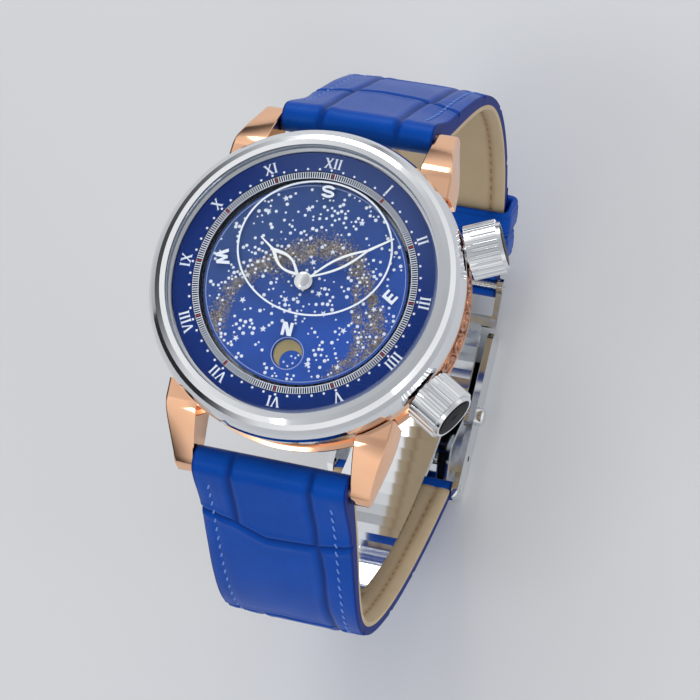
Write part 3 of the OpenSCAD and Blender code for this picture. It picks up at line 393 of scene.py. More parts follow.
METAL = {"Metallic": 1.0}
FINISHES = {
    "mirror_steel": polished(
        "#dfe1e4", "#eceef0", 7.0, 0.5, (1, 1, 7), 0.045, 0.03, 0.04, 0.0008, 0.25),
    "rose_gold": polished("#f3ba93", "#fccba8", 5.0, 0.4, (1, 5, 1), 0.07, 0.05, 0.05, 0.001, 0.3),
    "brushed_steel": grained(
        "#b9bdc2", "#d9dcdf", 1.6, 0.2, 0.16, 0.003, 0.5, 4, (14, 1, 1), extra=METAL),
    "train_brass": grained("#c8a050", "#e2c078", 0.6, 0.2, 0.14, 0.003, 0.4, 4, extra=METAL),
    "blued_screw": grained("#1c3c9c", "#3058c8", 0.5, 0.14, 0.1, 0.001, 0.3, extra=METAL),
    "striped_nickel": striped("#aeb2b8", "#d3d6da", (0.8, 0.6), 1.7, 0.64, 0.2, 0.3),
    "rotor_gilt": striped("#c99a52", "#e6c284", (0.5, 0.87), 1.9, 0.0, 0.18, 0.4),
    "ruby_jewel": grained(
        "#a00c3c", "#d42a5c", 0.4, 0.06, 0.05, 0.001, 0.2, extra={"Coat Weight": 0.6}),
    "pale_gasket": grained("#6c737c", "#8b929a", 0.5, 0.45, 0.2, 0.01, 0.4),
    "crown_lacquer": grained(
        "#060709", "#0f1114", 0.8, 0.26, 0.12, 0.002, 0.3, extra={"Specular IOR Level": 0.03}),
    "white_lacquer": grained(
        "#e9eef2", "#f7fafb", 0.4, 0.25, 0.12, 0.002, 0.4, extra={"Coat Weight": 0.3}),
    "moon_gold": grained(
        "#8c8058", "#b0a274", 0.35, 0.4, 0.15, 0.01, 0.5, 4, fine=0.7, extra={"Metallic": 0.35}),
    "pale_print": grained("#d3e0f4", "#f4f9ff", 0.22, 0.4, 0.15, 0.004, 0.5),
    "star_print": grained("#d3e0f4", "#f4f9ff", 0.22, 0.4, 0.15, 0.004, 0.5),
    "red_print": grained("#7c1a22", "#a82a34", 0.2, 0.42, 0.12, 0.004, 0.5),
    "thin_line_print": grained("#7f93c8", "#a9b8e0", 0.3, 0.4, 0.1, 0.003, 0.4),
    "pale_blue_thread": grained("#4270c4", "#7ba0e6", 0.1, 0.6, 0.2, 0.03, 0.7),
    "tan_thread": grained("#86643e", "#b08c60", 0.1, 0.6, 0.2, 0.03, 0.7),
    "carved_rose_gold": carved_gold,
    "clear_sapphire": clear_sapphire,
    "dial_lacquer": dial_lacquer,
    "sky_enamel": sky_enamel,
    "dust_print": dust_print,
    "blue_croc_leather": blue_croc,
    "tan_calf_lining": tan_calf,
    "floor_paint": floor_paint,
}
NODE_FINISHES = {
    "mirror_steel": [
        "bezel", "sky_crown", "time_crown", "hand_cap", "clasp_cover", "left_button",
        "right_button", "middle_blade", "base_blade"],
    "brushed_steel": [
        "case_back", "movement_ring", "crown_tubes", "cover_pins", "end_bar", "fold_pin",
        "lug_spring_bars", "rotor_bearing", "case_back_screws", "winding_stem", "sky_stem",
        "cannon_pinion", "crown_wheel", "ratchet_wheel", "escape_wheel", "pallet_fork",
        "mainspring"],
    "clear_sapphire": ["crystal", "case_back_glass", "horizon_glass"],
    "pale_gasket": ["crystal_gasket"],
    "dial_lacquer": ["dial"],
    "sky_enamel": ["star_disc", "moon_disc"],
    "crown_lacquer": ["sky_crown_cap", "time_crown_cap"],
    "striped_nickel": ["main_plate", "train_bridge", "pallet_bridge", "balance_cock"],
    "train_brass": [
        "balance_wheel", "barrel", "centre_wheel", "fourth_wheel", "hour_wheel", "minute_wheel",
        "sky_drive_wheel", "third_wheel"],
    "rotor_gilt": ["rotor"],
    "blued_screw": ["movement_screws", "hairspring"],
    "ruby_jewel": ["jewels"],
}


# Pieces from points and faces, in millimetres
def millimetre_mesh(name, points, faces=()):
    mesh = bpy.data.meshes.new(name)
    mesh.from_pydata([tuple(p) for p in np.asarray(points, float) * MM], [], faces)
    return mesh


def mark(mesh, key, values, kind="FLOAT"):
    """Stores one value, or one vector, on each point of a mesh."""
    field = "vector" if kind == "FLOAT_VECTOR" else "value"
    flat = np.asarray(values, float).ravel()
    mesh.attributes.new(key, kind, "POINT").data.foreach_set(field, flat)


def add_piece(name, points, faces, body, look, slot, smooth=True, marks=None, stands_for=()):
    """A piece from points and faces, with the marks that its finish reads."""
    mesh = millimetre_mesh(name, points, faces)
    mesh.update()
    for key, values in (marks or {}).items():
        mark(mesh, key, values)
    mesh.polygons.foreach_set("use_smooth", [smooth] * len(mesh.polygons))
    return place_piece(name, mesh, body, finish(look), slot, stands_for)


def place_piece(name, mesh, body, material, slot, stands_for=()):
    """Sets a mesh on its body, and in the place of the nodes it stands for; the slot it is given is
    not used.
    """
    mesh.materials.clear()
    mesh.materials.append(material)
    piece = bpy.data.objects.new(name, mesh)
    bpy.context.scene.collection.objects.link(piece)
    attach(piece, body)
    if stands_for:
        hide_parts(*stands_for)
    return piece


def grid_faces(rows, columns, wrap_rows=False, wrap_columns=False, start=0, flip=False):
    """Four-sided faces over a grid of points, joined round where it wraps."""
    faces = []
    for j in range(rows if wrap_rows else rows - 1):
        a, b = start + j * columns, start + (j + 1) % rows * columns
        for i in range(columns if wrap_columns else columns - 1):
            k = (i + 1) % columns
            faces.append([a + i, a + k, b + k, b + i] if flip else [a + i, b + i, b + k, a + k])
    return faces


def anticlockwise(outline):
    """The outline, turned round where it runs clockwise seen from above."""
    area = sum(
        outline[i - 1][0] * outline[i][1] - outline[i][0] * outline[i - 1][1]
        for i in range(len(outline))
    )
    return outline if area > 0 else outline[::-1]


class Shell:
    """Points and faces of flat prints and small solids, gathered into one piece."""

    def __init__(self):
        self.points = []
        self.faces = []

    def prism(self, outline, low, high):
        """A flat shape between two heights; outline runs anticlockwise seen from above."""
        start = len(self.points)
        count = len(outline)
        self.points += [(x, y, low) for x, y in outline] + [(x, y, high) for x, y in outline]
        self.faces.append([start + count + i for i in range(count)])
        self.faces.append([start + i for i in range(count)][::-1])
        self.faces += grid_faces(2, count, wrap_columns=True, start=start, flip=True)

    def ring(self, inner, outer, low, high, closed=True):
        """A band between two lines with the same number of points."""
        start, count = len(self.points), len(inner)
        for line, height in ((inner, high), (outer, high), (outer, low), (inner, low)):
            self.points += [(x, y, height) for x, y in line]
        self.faces += grid_faces(4, count, True, closed, start)
        if not closed:
            self.faces.append([start + row * count for row in range(4)])
            self.faces.append([start + row * count + count - 1 for row in range(4)][::-1])

    def piece(self, name, body, look, slot="white_paint", stands_for=()):
        """One flat-shaded piece of all that was gathered."""
        return add_piece(name, self.points, self.faces, body, look, slot, False, None, stands_for)


def circle_points(radius, count=180, centre=(0.0, 0.0), other=None):
    """A circle, or an oval where its other half axis is given."""
    other = radius if other is None else other
    turns = [TAU * i / count for i in range(count)]
    return [(centre[0] + radius * math.cos(a), centre[1] + other * math.sin(a)) for a in turns]


def clock(radius, degrees):
    """A point of the dial at a clock angle."""
    return radius * math.sin(math.radians(degrees)), radius * math.cos(math.radians(degrees))


def turned(degrees, shift=(0.0, 0.0)):
    """A function that turns a point clockwise and moves it."""
    c, s = math.cos(math.radians(-degrees)), math.sin(math.radians(-degrees))
    return lambda p: (p[0] * c - p[1] * s + shift[0], p[0] * s + p[1] * c + shift[1])


# Geometry Nodes trees
class Stamper:
    """Builds a tree that sets copies of a stamp, and bakes its result into a plain piece."""

    def __init__(self, name, stamp, look):
        self.tree = bpy.data.node_groups.new(name, "GeometryNodeTree")
        self.graph = Graph(self.tree)
        for way in ("INPUT", "OUTPUT"):
            self.tree.interface.new_socket("Geometry", in_out=way, socket_type="NodeSocketGeometry")
        self.entry = self.tree.nodes.new("NodeGroupInput")
        self.values = {}
        self.stamp = stamp
        self.material = finish(look)

    def given(self, name, value, kind="NodeSocketFloat"):
        """A named input of the tree, with the value that the modifier gives it."""
        socket = self.tree.interface.new_socket(name, in_out="INPUT", socket_type=kind)
        self.values[socket.identifier] = value
        return Wire(self.graph, self.entry.outputs[name])

    def start(self):
        return Wire(self.graph, self.entry.outputs["Geometry"])

    def copies(self, points, turn, size):
        stamp = self.graph.node(
            "GeometryNodeObjectInfo", sockets={"Object": self.stamp}, out="Geometry"
        )
        return self.graph.node(
            "GeometryNodeInstanceOnPoints",
            sockets={"Points": points, "Instance": stamp, "Rotation": turn, "Scale": size},
        )

    def close(self, geometry):
        whole = self.graph.node("GeometryNodeRealizeInstances", sockets={0: geometry})
        painted = self.graph.node(
            "GeometryNodeSetMaterial", sockets={0: whole, "Material": self.material}
        )
        self.graph.node("NodeGroupOutput", sockets={"Geometry": painted})

    def bake(self, name, base_mesh, body, slot):
        """Runs the tree on a base mesh and keeps what it makes as one plain piece."""
        holder = bpy.data.objects.new(name + "_base", base_mesh)
        bpy.context.scene.collection.objects.link(holder)
        modifier = holder.modifiers.new("Copies", "NODES")
        modifier.node_group = self.tree
        for key, value in self.values.items():
            modifier[key] = value
        bpy.context.view_layer.update()
        ready = holder.evaluated_get(bpy.context.evaluated_depsgraph_get())
        mesh = bpy.data.meshes.new_from_object(ready)
        mesh.name = name
        holder.modifiers.clear()
        bpy.data.objects.remove(holder)
        if not mesh.polygons:
            raise RuntimeError(f"{name}: its tree made nothing")
        return place_piece(name, mesh, body, self.material, slot)


def stamp_object(name, points, faces, smooth=False):
    """A small shape in metres that a tree copies; it is removed afterwards."""
    mesh = millimetre_mesh(name, points, faces)
    mesh.polygons.foreach_set("use_smooth", [smooth] * len(mesh.polygons))
    return bpy.data.objects.new(name, mesh)


def drop_stamps(*stamps):
    for stamp in stamps:
        bpy.data.objects.remove(stamp)


def dome_stamp(name, height, ring):
    """A low flat-topped dome over an outline."""
    count = len(ring)
    points = [(x, y, 0) for x, y in ring] + [(x * 0.62, y * 0.62, height) for x, y in ring]
    faces = [[count + i for i in range(count)], list(range(count))[::-1]]
    faces += grid_faces(2, count, wrap_columns=True, flip=True)
    return stamp_object(name, points, faces)


def star_outline(radius):
    """A star with five points, the first one up."""
    outline = []
    for i in range(10):
        reach, turn = radius * (0.42 if i % 2 else 1.0), TAU * i / 10 + math.pi / 2
        outline.append((reach * math.cos(turn), reach * math.sin(turn)))
    return outline


def stamps_at_points(name, stamp, look, points, turns, body, slot):
    """Copies a stamp onto points that carry their own turn."""
    work = Stamper(name, stamp, look)
    scale = work.given("Size", 1.0)
    turn = work.graph.node(
        "GeometryNodeInputNamedAttribute", {"data_type": "FLOAT_VECTOR"}, {"Name": "turn"}
    )
    work.close(work.copies(work.start(), turn, scale))
    base = millimetre_mesh(name + "_points", points)
    mark(base, "turn", turns, "FLOAT_VECTOR")
    return work.bake(name, base, body, slot)


def ring_of_stamps(name, stamp, look, count, radius, height, group=1, keep=None):
    """Copies a stamp round the dial; keep picks places within each group of the count."""
    work = Stamper(name, stamp, look)
    g = work.graph
    number = work.given("Count", count, "NodeSocketInt")
    reach = work.given("Radius", radius * MM)
    level = work.given("Height", height * MM)
    circle = g.node(
        "GeometryNodeMeshCircle", {"fill_type": "NONE"}, {"Vertices": number, "Radius": reach}
    )
    index = g.node("GeometryNodeInputIndex")
    if keep is not None:
        each = work.given("Group", group, "NodeSocketInt")
        low = work.given("First Kept", keep[0], "NodeSocketInt")
        high = work.given("Last Kept", keep[1], "NodeSocketInt")
        order = (index + 1) % each
        inside = g.math("GREATER_THAN", order, low - 0.5) * g.math("LESS_THAN", order, high + 0.5)
        circle = g.node(
            "GeometryNodeDeleteGeometry",
            {"domain": "POINT"},
            {"Geometry": circle, "Selection": 1 - inside},
        )
    spot = g.parts(g.node("GeometryNodeInputPosition"))
    angle = g.math("ARCTAN2", spot[1], spot[0])
    turn = g.node("ShaderNodeCombineXYZ", sockets={2: angle})
    lifted = g.node(
        "GeometryNodeSetPosition",
        sockets={"Geometry": circle, "Offset": g.node("ShaderNodeCombineXYZ", sockets={2: level})},
    )
    work.close(work.copies(lifted, turn, work.given("Size", 1.0)))
    return work.bake(name, bpy.data.meshes.new(name + "_start"), "case", "white_paint")


def scatter_on_sky(name, stamp, look, base, slot, spacing, density, seed, sizes):
    """Strews copies of a stamp over the star disc, each with its own size and turn."""
    work = Stamper(name, stamp, look)
    g = work.graph
    gap = work.given("Spacing", spacing * MM)
    most = work.given("Density", density)
    chosen = work.given("Seed", seed, "NodeSocketInt")
    small = work.given("Smallest", sizes[0])
    large = work.given("Largest", sizes[1])
    share = g.node("GeometryNodeInputNamedAttribute", {"data_type": "FLOAT"}, {"Name": "share"})
    points = g.node(
        "GeometryNodeDistributePointsOnFaces",
        {"distribute_method": "POISSON"},
        {"Mesh": work.start(), "Distance Min": gap, "Density Max": most,
         "Density Factor": share, "Seed": chosen},
    )
    kind, given = "FunctionNodeRandomValue", {"data_type": "FLOAT"}
    draw = g.node(kind, given, {2: 0.0, 3: 1.0, "Seed": chosen}, out=1)
    spin = g.node(kind, given, {2: 0.0, 3: TAU, "Seed": chosen}, out=1)
    size = small + draw * (large - small)
    turn = g.node("ShaderNodeCombineXYZ", sockets={2: spin})
    work.close(work.copies(points, turn, size))
    return work.bake(name, base, "star_disc", slot)


# The two strap halves: their middle lines in Y and Z, as the part's source draws them
BAR_6, BAR_12 = np.array([-25.0, 73.7]), np.array([25.0, 73.7])
KNEE_6, KNEE_12 = np.array([-38.9, 43.68]), np.array([42.9, 36.68])
PIN_6, END_12 = np.array([-9.9, 3.1]), np.array([24.0, 6.0])
STRAP_W, STRAP_END_W, STRAP_T, STRAP_END_T = 21.6, 19.4, 4.4, 2.4
LINING_T, TAIL_T, TAIL_GAP, TAIL_FROM = 0.9, 1.5, 0.35, 0.79
FOLD_R = (STRAP_END_T + TAIL_GAP + TAIL_T) / 2
FLAP_U, KEEPER_W, KEEPER_T = 0.021, 4.2, 1.2
BAR_HOLE_R, PIN_HOLE_R, SEAT_R, SEAM_INSET = 0.76, 0.81, 0.82, 2.1
LEATHER_COLUMNS, LINING_COLUMNS = 97, 61


def head(degrees):
    """A heading in Y and Z."""
    return np.array([math.cos(math.radians(degrees)), math.sin(math.radians(degrees))])


def ease(v):
    """Rises softly from 0 to 1 as v does."""
    v = min(max(v, 0.0), 1.0)
    return v * v * (3 - 2 * v)


def steps(first, last, count):
    """Even places from first to last, both of them included."""
    return [first + (last - first) * i / count for i in range(count + 1)]


def bezier(p, t):
    back = 1 - t
    return p[0] * back**3 + 3 * p[1] * t * back**2 + 3 * p[2] * t * t * back + p[3] * t**3


class StrapPath:
    """Middle line of a strap half; u runs from the lugs (0) to the clasp (1)."""

    def __init__(self, upper, lower, side):
        self.upper, self.lower, self.side = upper, lower, side
        spots = np.array([self.middle(i / 400) for i in range(401)])
        self.lengths = np.concatenate([[0], np.cumsum(np.hypot(*np.diff(spots, axis=0).T))])
        self.total = float(self.lengths[-1])

    def middle(self, u):
        return bezier(self.upper, 2 * u) if u < 0.5 else bezier(self.lower, 2 * u - 1)

    def along(self, u):
        step = self.middle(min(u + 0.01, 1)) - self.middle(max(u - 0.01, 0))
        return step / np.linalg.norm(step)

    def inward(self, u):
        t = self.along(u)
        return self.side * np.array([-t[1], t[0]])

    def at_length(self, length):
        return float(np.interp(length, self.lengths, np.linspace(0, 1, 401)))

    def length_at(self, u):
        return float(np.interp(u, np.linspace(0, 1, 401), self.lengths))


PATH_6 = StrapPath(
    [BAR_6, BAR_6 + 17 * head(-118), KNEE_6 - 8 * head(-91), KNEE_6],
    [KNEE_6, KNEE_6 + 11 * head(-91), PIN_6 - 22 * head(-39.5), PIN_6],
    1,
)
PATH_12 = StrapPath(
    [BAR_12, BAR_12 + 15 * head(-60), KNEE_12 - 13 * head(-88), KNEE_12],
    [KNEE_12, KNEE_12 + 12 * head(-88), END_12 - 13.5 * head(-158), END_12],
    -1,
)


def thickness(u):
    return STRAP_T + (STRAP_END_T - STRAP_T) * ease(u / 0.45)


def half_thickness(u):
    return thickness(u) / 2


def half_width(u):
    return (STRAP_W + (STRAP_END_W - STRAP_W) * ease(u)) / 2


def outer_reach(u, s):
    """Height of the domed outer face over the middle line at s, -1 to 1 across the strap."""
    t = thickness(u)
    edge = t / 2 - 0.3 - 1.3 * ease(u / 0.1) * (t - STRAP_END_T) / (STRAP_T - STRAP_END_T)
    return edge + (t / 2 - edge) * np.power(np.clip(1 - s * s, 0, 1), 0.4)


FURROW_W, FURROW_SWAY = 0.42, 0.12


class Furrows:
    """Pressed scale pattern of the leather: crooked furrows along and across the strap."""

    def __init__(self, seed, crossings, first, depth, ways=()):
        draw = np.random.default_rng(seed)
        self.depth = depth
        self.nodes = np.array([-10.8, -6.0, -1.2, 4.6, 10.8])
        self.rows = [base + draw.uniform(-1.0, 1.0, 5) for base in crossings]
        if first is not None:
            self.rows[0] = np.array(first)
        count = len(crossings) + 1
        self.ways = [
            (-5.3 + draw.uniform(-0.6, 0.6), 5.9 + draw.uniform(-0.6, 0.6)) for _ in range(count)
        ]
        self.ways[: len(ways)] = ways
        self.phase = draw.uniform(0, TAU, count)

    def press(self, x, length):
        """Change of height, and how deep in a furrow each x lies, on the row at this length."""
        rows = [np.interp(x, self.nodes, row) for row in self.rows]
        away = np.min([np.abs(length - row) for row in rows], axis=0)
        segment = sum((length > row).astype(int) for row in rows)
        for k, ways in enumerate(self.ways):
            sway = FURROW_SWAY * math.sin(length * 0.45 + self.phase[k])
            for way in ways:
                away = np.where(segment == k, np.minimum(away, np.abs(x - way - sway)), away)
        cut = np.exp(-((away / FURROW_W) ** 2))
        lip = np.exp(-(((away - 2.4 * FURROW_W) / (1.2 * FURROW_W)) ** 2))
        swell = np.sin(x * 0.8 + length * 0.3) * np.sin(length * 0.5 + 1.3)
        return self.depth * (0.2 * lip - cut + 0.07 * swell), cut


class Loop:
    """Rows of points across a strap piece, joined round into a closed band with flat sides."""

    def __init__(self, columns):
        k = np.linspace(-1, 1, columns)
        self.s = 0.45 * np.sin(k * math.pi / 2) + 0.55 * k
        self.rows, self.crease, self.rim = [], [], []
        self.holes = []

    def row(self, spot, half, crease=None, lift=0.0, way=None):
        """One row at a spot in Y and Z; lift moves each of its points along a way."""
        lift = np.broadcast_to(lift, self.s.shape)
        way = np.zeros(2) if way is None else way
        self.rows.append(
            np.column_stack([self.s * half, spot[0] + way[0] * lift, spot[1] + way[1] * lift])
        )
        self.crease.append(np.zeros_like(self.s) if crease is None else crease)
        self.rim.append(np.clip((np.abs(self.s) - 0.97) / 0.02, 0, 1))

    def bore(self, spot, radius, half, count=20):
        self.holes.append((spot, radius, half, count))

    def build(self, name, body, look, slot, node):
        """Joins the rows into a band, closes its two sides round the bores and places it."""
        n, m = len(self.s), len(self.rows)
        points = list(np.concatenate(self.rows))
        crease = list(np.concatenate(self.crease))
        rim = list(np.concatenate(self.rim))
        faces = grid_faces(m, n, wrap_rows=True)
        soft = len(faces)
        edges = [[j * n for j in range(m)], [j * n + n - 1 for j in range(m)]]
        rings = [[], []]
        for spot, radius, half, count in self.holes:
            start = len(points)
            for x in (-half, half):
                points += [np.array([x, *place]) for place in circle_points(radius, count, spot)]
            crease += [0.0] * (2 * count)
            rim += [1.0] * (2 * count)
            faces += grid_faces(2, count, wrap_columns=True, start=start)
            rings[0].append([start + i for i in range(count)])
            rings[1].append([start + count + i for i in range(count)])
        for edge, holes in zip(edges, rings):
            loops = [edge] + holes
            flat = [i for loop in loops for i in loop]
            outlines = [[Vector((0, points[i][1], points[i][2])) for i in loop] for loop in loops]
            faces += [[flat[i] for i in tri] for tri in tessellate_polygon(outlines)]
        marks = {"crease": crease, "rim": rim}
        piece = add_piece(name, points, faces, body, look, slot, True, marks, [node])
        tidy_normals(piece.data, soft)
        return piece


def tidy_normals(mesh, soft=None):
    """Turns every face outwards; faces after the first soft ones are flat with sharp borders."""
    work = bmesh.new()
    work.from_mesh(mesh)
    bmesh.ops.recalc_face_normals(work, faces=work.faces)
    if soft is not None:
        for face in work.faces:
            face.smooth = face.index < soft
        for edge in work.edges:
            if len({face.index < soft for face in edge.link_faces}) == 2:
                edge.smooth = False
    work.to_mesh(mesh)
    work.free()


def arc_rows(loop, centre, radius, begin, middle, half, count):
    """Rows on half a turn round a centre, from begin through middle to the other side."""
    for i in range(1, count):
        a = math.pi * i / count
        loop.row(centre + radius * (begin * math.cos(a) + middle * math.sin(a)), half)


def outer_rows(loop, path, first, last, count, furrows, dip):
    """Rows of the domed outer face between two places, with furrows and the sunk stitch line."""
    for u in steps(first, last, count):
        length = path.length_at(u)
        half = half_width(u)
        x = loop.s * half
        change, cut = furrows.press(x, length)
        calm = ease((path.total - length) / 2.0)
        stitched = np.exp(-(((half - np.abs(x) - SEAM_INSET) / 0.55) ** 2))
        reach = outer_reach(u, loop.s) + calm * (change - dip * ease(length / 2.5) * stitched)
        loop.row(path.middle(u), half, cut * calm, reach, -path.inward(u))


def inner_rows(loop, path, first, last, count, depth):
    """Plain rows between two places, at a depth inside the middle line."""
    for u in steps(first, last, count):
        offset = depth(u) if callable(depth) else depth
        loop.row(path.middle(u) + path.inward(u) * offset, half_width(u))


def lug_wrap(loop, path, bar, furrows):
    """The leather's turn round its spring bar, and the start of the flap behind it."""
    begin, middle = -path.inward(0), -path.along(0)
    for i in range(1, 16):
        a = math.pi * i / 16
        share = (1 - math.cos(a)) / 2
        way = begin * math.cos(a) + middle * math.sin(a)
        reach = outer_reach(0, loop.s) * (1 - share) + (STRAP_T / 2 + 0.02) * share
        change, cut = furrows.press(loop.s * half_width(0), -STRAP_T / 2 * a)
        fade = 1 - ease((a - 1.2) / 1.2)
        reach = np.minimum(reach + 0.06 * math.sin(a) + change * fade, STRAP_T / 2 + 0.06)
        loop.row(bar, half_width(0), cut * fade, reach, way)


def seat_depth(u):
    """Depth inside the middle line at which the leather lies on its lining."""
    return half_thickness(u) - LINING_T


def make_leather_6(settings):
    """The lower half: outer face, turn round the bar, inner face, turn round the clasp's pin."""
    loop = Loop(LEATHER_COLUMNS)
    furrows = Furrows(5, [12, 33, 49, 63], [8.6, 9.2, 11.5, 11.2, 10.9],
                      settings.furrow_depth / MM, [(-5.5, 5.8), (-40, 6.2)])
    outer_rows(loop, PATH_6, 1.0, 0.0, 330, furrows, 0.12)
    lug_wrap(loop, PATH_6, BAR_6, furrows)
    inner_rows(loop, PATH_6, 0.0, FLAP_U, 4, half_thickness)
    inner_rows(loop, PATH_6, FLAP_U + 0.0005, 0.988, 70, seat_depth)
    inner_rows(loop, PATH_6, 0.9885, 1.0, 3, half_thickness)
    arc_rows(loop, PIN_6, STRAP_END_T / 2, PATH_6.inward(1), PATH_6.along(1), STRAP_END_W / 2, 14)
    loop.bore(BAR_6, BAR_HOLE_R, STRAP_W / 2)
    loop.bore(PIN_6, PIN_HOLE_R, STRAP_END_W / 2)
    return loop.build("lower_strap_leather", "strap_6", "blue_croc_leather", "blue_leather",
                      "strap_6_leather")


def tail_rows(loop, furrows, far):
    """The outer face of the folded tail, over the gap to the strap."""
    for i, u in enumerate(steps(TAIL_FROM, 1, 70)):
        narrow = 0.8 + 0.2 * ease((u - TAIL_FROM) / 0.03)
        half = (half_width(u) - 0.1) * narrow
        change, cut = furrows.press(loop.s * half, PATH_12.length_at(u))
        full = TAIL_T - (1 - ease((u - TAIL_FROM) / 0.02)) * 0.6
        crown = 0.45 * np.power(np.clip(1 - loop.s**2, 0, 1), 0.35)
        reach = far + full - 0.45 + crown + change * ease(i / 8)
        loop.row(PATH_12.middle(u), half, cut, reach, -PATH_12.inward(u))


def fold_rows(loop, near):
    """The fold at the strap's end, then the half round seat of the clasp's end bar."""
    inward, along, half = PATH_12.inward(1), PATH_12.along(1), STRAP_END_W / 2
    fold = END_12 - inward * (FOLD_R - near)
    for i in range(1, 22):
        a = math.radians(145 * i / 21)
        loop.row(fold + FOLD_R * (-inward * math.cos(a) + along * math.sin(a)), half)
    for a in (12, -20, -55, -90, -125, -160, -192):
        c, s = head(a)
        loop.row(END_12 + SEAT_R * (along * c + inward * s), half)
    loop.row(END_12 - along * 1.18 + inward * near, half)


def make_leather_12(settings):
    """The upper half: outer face, tail, fold, inner face and the turn round the bar."""
    loop = Loop(LEATHER_COLUMNS)
    depth = settings.furrow_depth / MM
    furrows = Furrows(11, [13.5, 28.5, 43.0, 57.5, 71], [12.2, 12.9, 14.4, 13.8, 12.6], depth)
    outer_rows(loop, PATH_12, 0.0, 0.985, 320, furrows, 0.12)
    near, far = STRAP_END_T / 2, STRAP_END_T / 2 + TAIL_GAP
    inner_rows(loop, PATH_12, 0.99, TAIL_FROM, 40, -far)
    tail_rows(loop, Furrows(23, [67.5], None, depth * 0.6), far)
    fold_rows(loop, near)
    inner_rows(loop, PATH_12, 0.983, 0.963, 3, near)
    inner_rows(loop, PATH_12, 0.9625, FLAP_U + 0.0005, 70, seat_depth)
    inner_rows(loop, PATH_12, FLAP_U, 0.0, 4, half_thickness)
    wrap = Loop(LEATHER_COLUMNS)
    lug_wrap(wrap, PATH_12, BAR_12, furrows)
    loop.rows += wrap.rows[::-1]
    loop.crease += wrap.crease[::-1]
    loop.rim += wrap.rim[::-1]
    loop.bore(BAR_12, BAR_HOLE_R, STRAP_W / 2)
    return loop.build("upper_strap_leather", "strap_12", "blue_croc_leather", "blue_leather",
                      "strap_12_leather")


def make_lining(name, path, last, body, node):
    """A tan layer under the leather, with the pressed lines of its two seams."""
    loop = Loop(LINING_COLUMNS)
    count = 150
    for u in steps(FLAP_U, last, count):
        half = half_width(u) - 0.02
        seam = np.exp(-(((half - np.abs(loop.s * half) - SEAM_INSET) / 0.5) ** 2))
        rounded = 0.22 * np.power(np.abs(loop.s), 24) + 0.1 * seam
        loop.row(path.middle(u), half, seam, half_thickness(u) - rounded, path.inward(u))
    for u in steps(last, FLAP_U, count // 3):
        loop.row(path.middle(u) + path.inward(u) * (seat_depth(u) + 0.02), half_width(u) - 0.02)
    return loop.build(name, body, "tan_calf_lining", "tan_lining", node)


def make_strap(settings):
    """Leather and lining of both halves."""
    leather = [make_leather_6(settings), make_leather_12(settings)]
    return leather + [
        make_lining("lower_strap_lining", PATH_6, 0.988, "strap_6", "strap_6_lining"),
        make_lining("upper_strap_lining", PATH_12, 0.962, "strap_12", "strap_12_lining"),
    ]


def stitch_stamp(length, thick):
    """A short rounded thread along X that dips at both ends."""
    rings, sides = 7, 6
    points, faces = [], []
    for i in range(rings):
        t = i / (rings - 1) * 2 - 1
        r = thick / 2 * math.sqrt(max(1 - t**4, 0.02))
        dip = -0.5 * thick * t**4
        points += [
            (t * length / 2, y, z) for y, z in circle_points(r, sides, (0.0, dip), r * 0.9)
        ]
    for i in range(rings - 1):
        for k in range(sides):
            m = (k + 1) % sides
            a, b = i * sides, (i + 1) * sides
            faces.append([a + k, a + m, b + m, b + k][::-1])
    faces.append([k for k in range(sides)][::-1])
    faces.append([(rings - 1) * sides + k for k in range(sides)])
    stamp = stamp_object("stitch", points, faces, True)
    tidy_normals(stamp.data)
    return stamp


def facing(along, up):
    """Turn, as three angles, that lays X along one direction and Z on another."""
    x = Vector(along).normalized()
    z = Vector(up).normalized()
    return Matrix((x, z.cross(x), z)).transposed().to_euler("XYZ")


def seam_points(path, first, last, pitch, outward, lift, skew):
    """Places and turns of stitches down both edges of a strap half, between two lengths."""
    spots, turns = [], []
    count = int((last - first) / pitch)
    for side in (-1, 1):
        for i in range(count + 1):
            u = path.at_length(first + i * pitch)
            half = half_width(u)
            x = side * (half - SEAM_INSET)
            along, inward = path.along(u), path.inward(u)
            if outward:
                reach = -(float(outer_reach(u, np.array([x / half]))[0]) + lift)
            else:
                reach = half_thickness(u) + lift
            spot = path.middle(u) + inward * reach
            spots.append((x, spot[0], spot[1]))
            up = -inward if outward else inward
            turns.append(facing((skew * side, along[0], along[1]), (0, up[0], up[1])))
    return spots, turns


def make_stitches(settings):
    """Two seams on the outside and two on the lining of each strap half."""
    stamp = stitch_stamp(settings.stitch_length / MM, settings.stitch_thickness / MM)
    pitch = settings.stitch_pitch / MM
    made = []
    for half, path, body, outer_end, inner_end in (
        ("lower", PATH_6, "strap_6", PATH_6.total - 4.5, PATH_6.total - 5),
        ("upper", PATH_12, "strap_12", PATH_12.total * 0.775, PATH_12.total * 0.955),
    ):
        for name, look, slot, seam in (
            ("strap", "pale_blue_thread", "blue_leather",
             (2.6, outer_end, pitch, True, -0.06, 0.3)),
            ("lining", "tan_thread", "tan_lining",
             (5.0, inner_end, pitch, False, -0.08, 0.06)),
        ):
            spots, turns = seam_points(path, *seam)
            made.append(stamps_at_points(
                f"{half}_{name}_stitches", stamp, look, spots, turns, body, slot))
    drop_stamps(stamp)
    return made


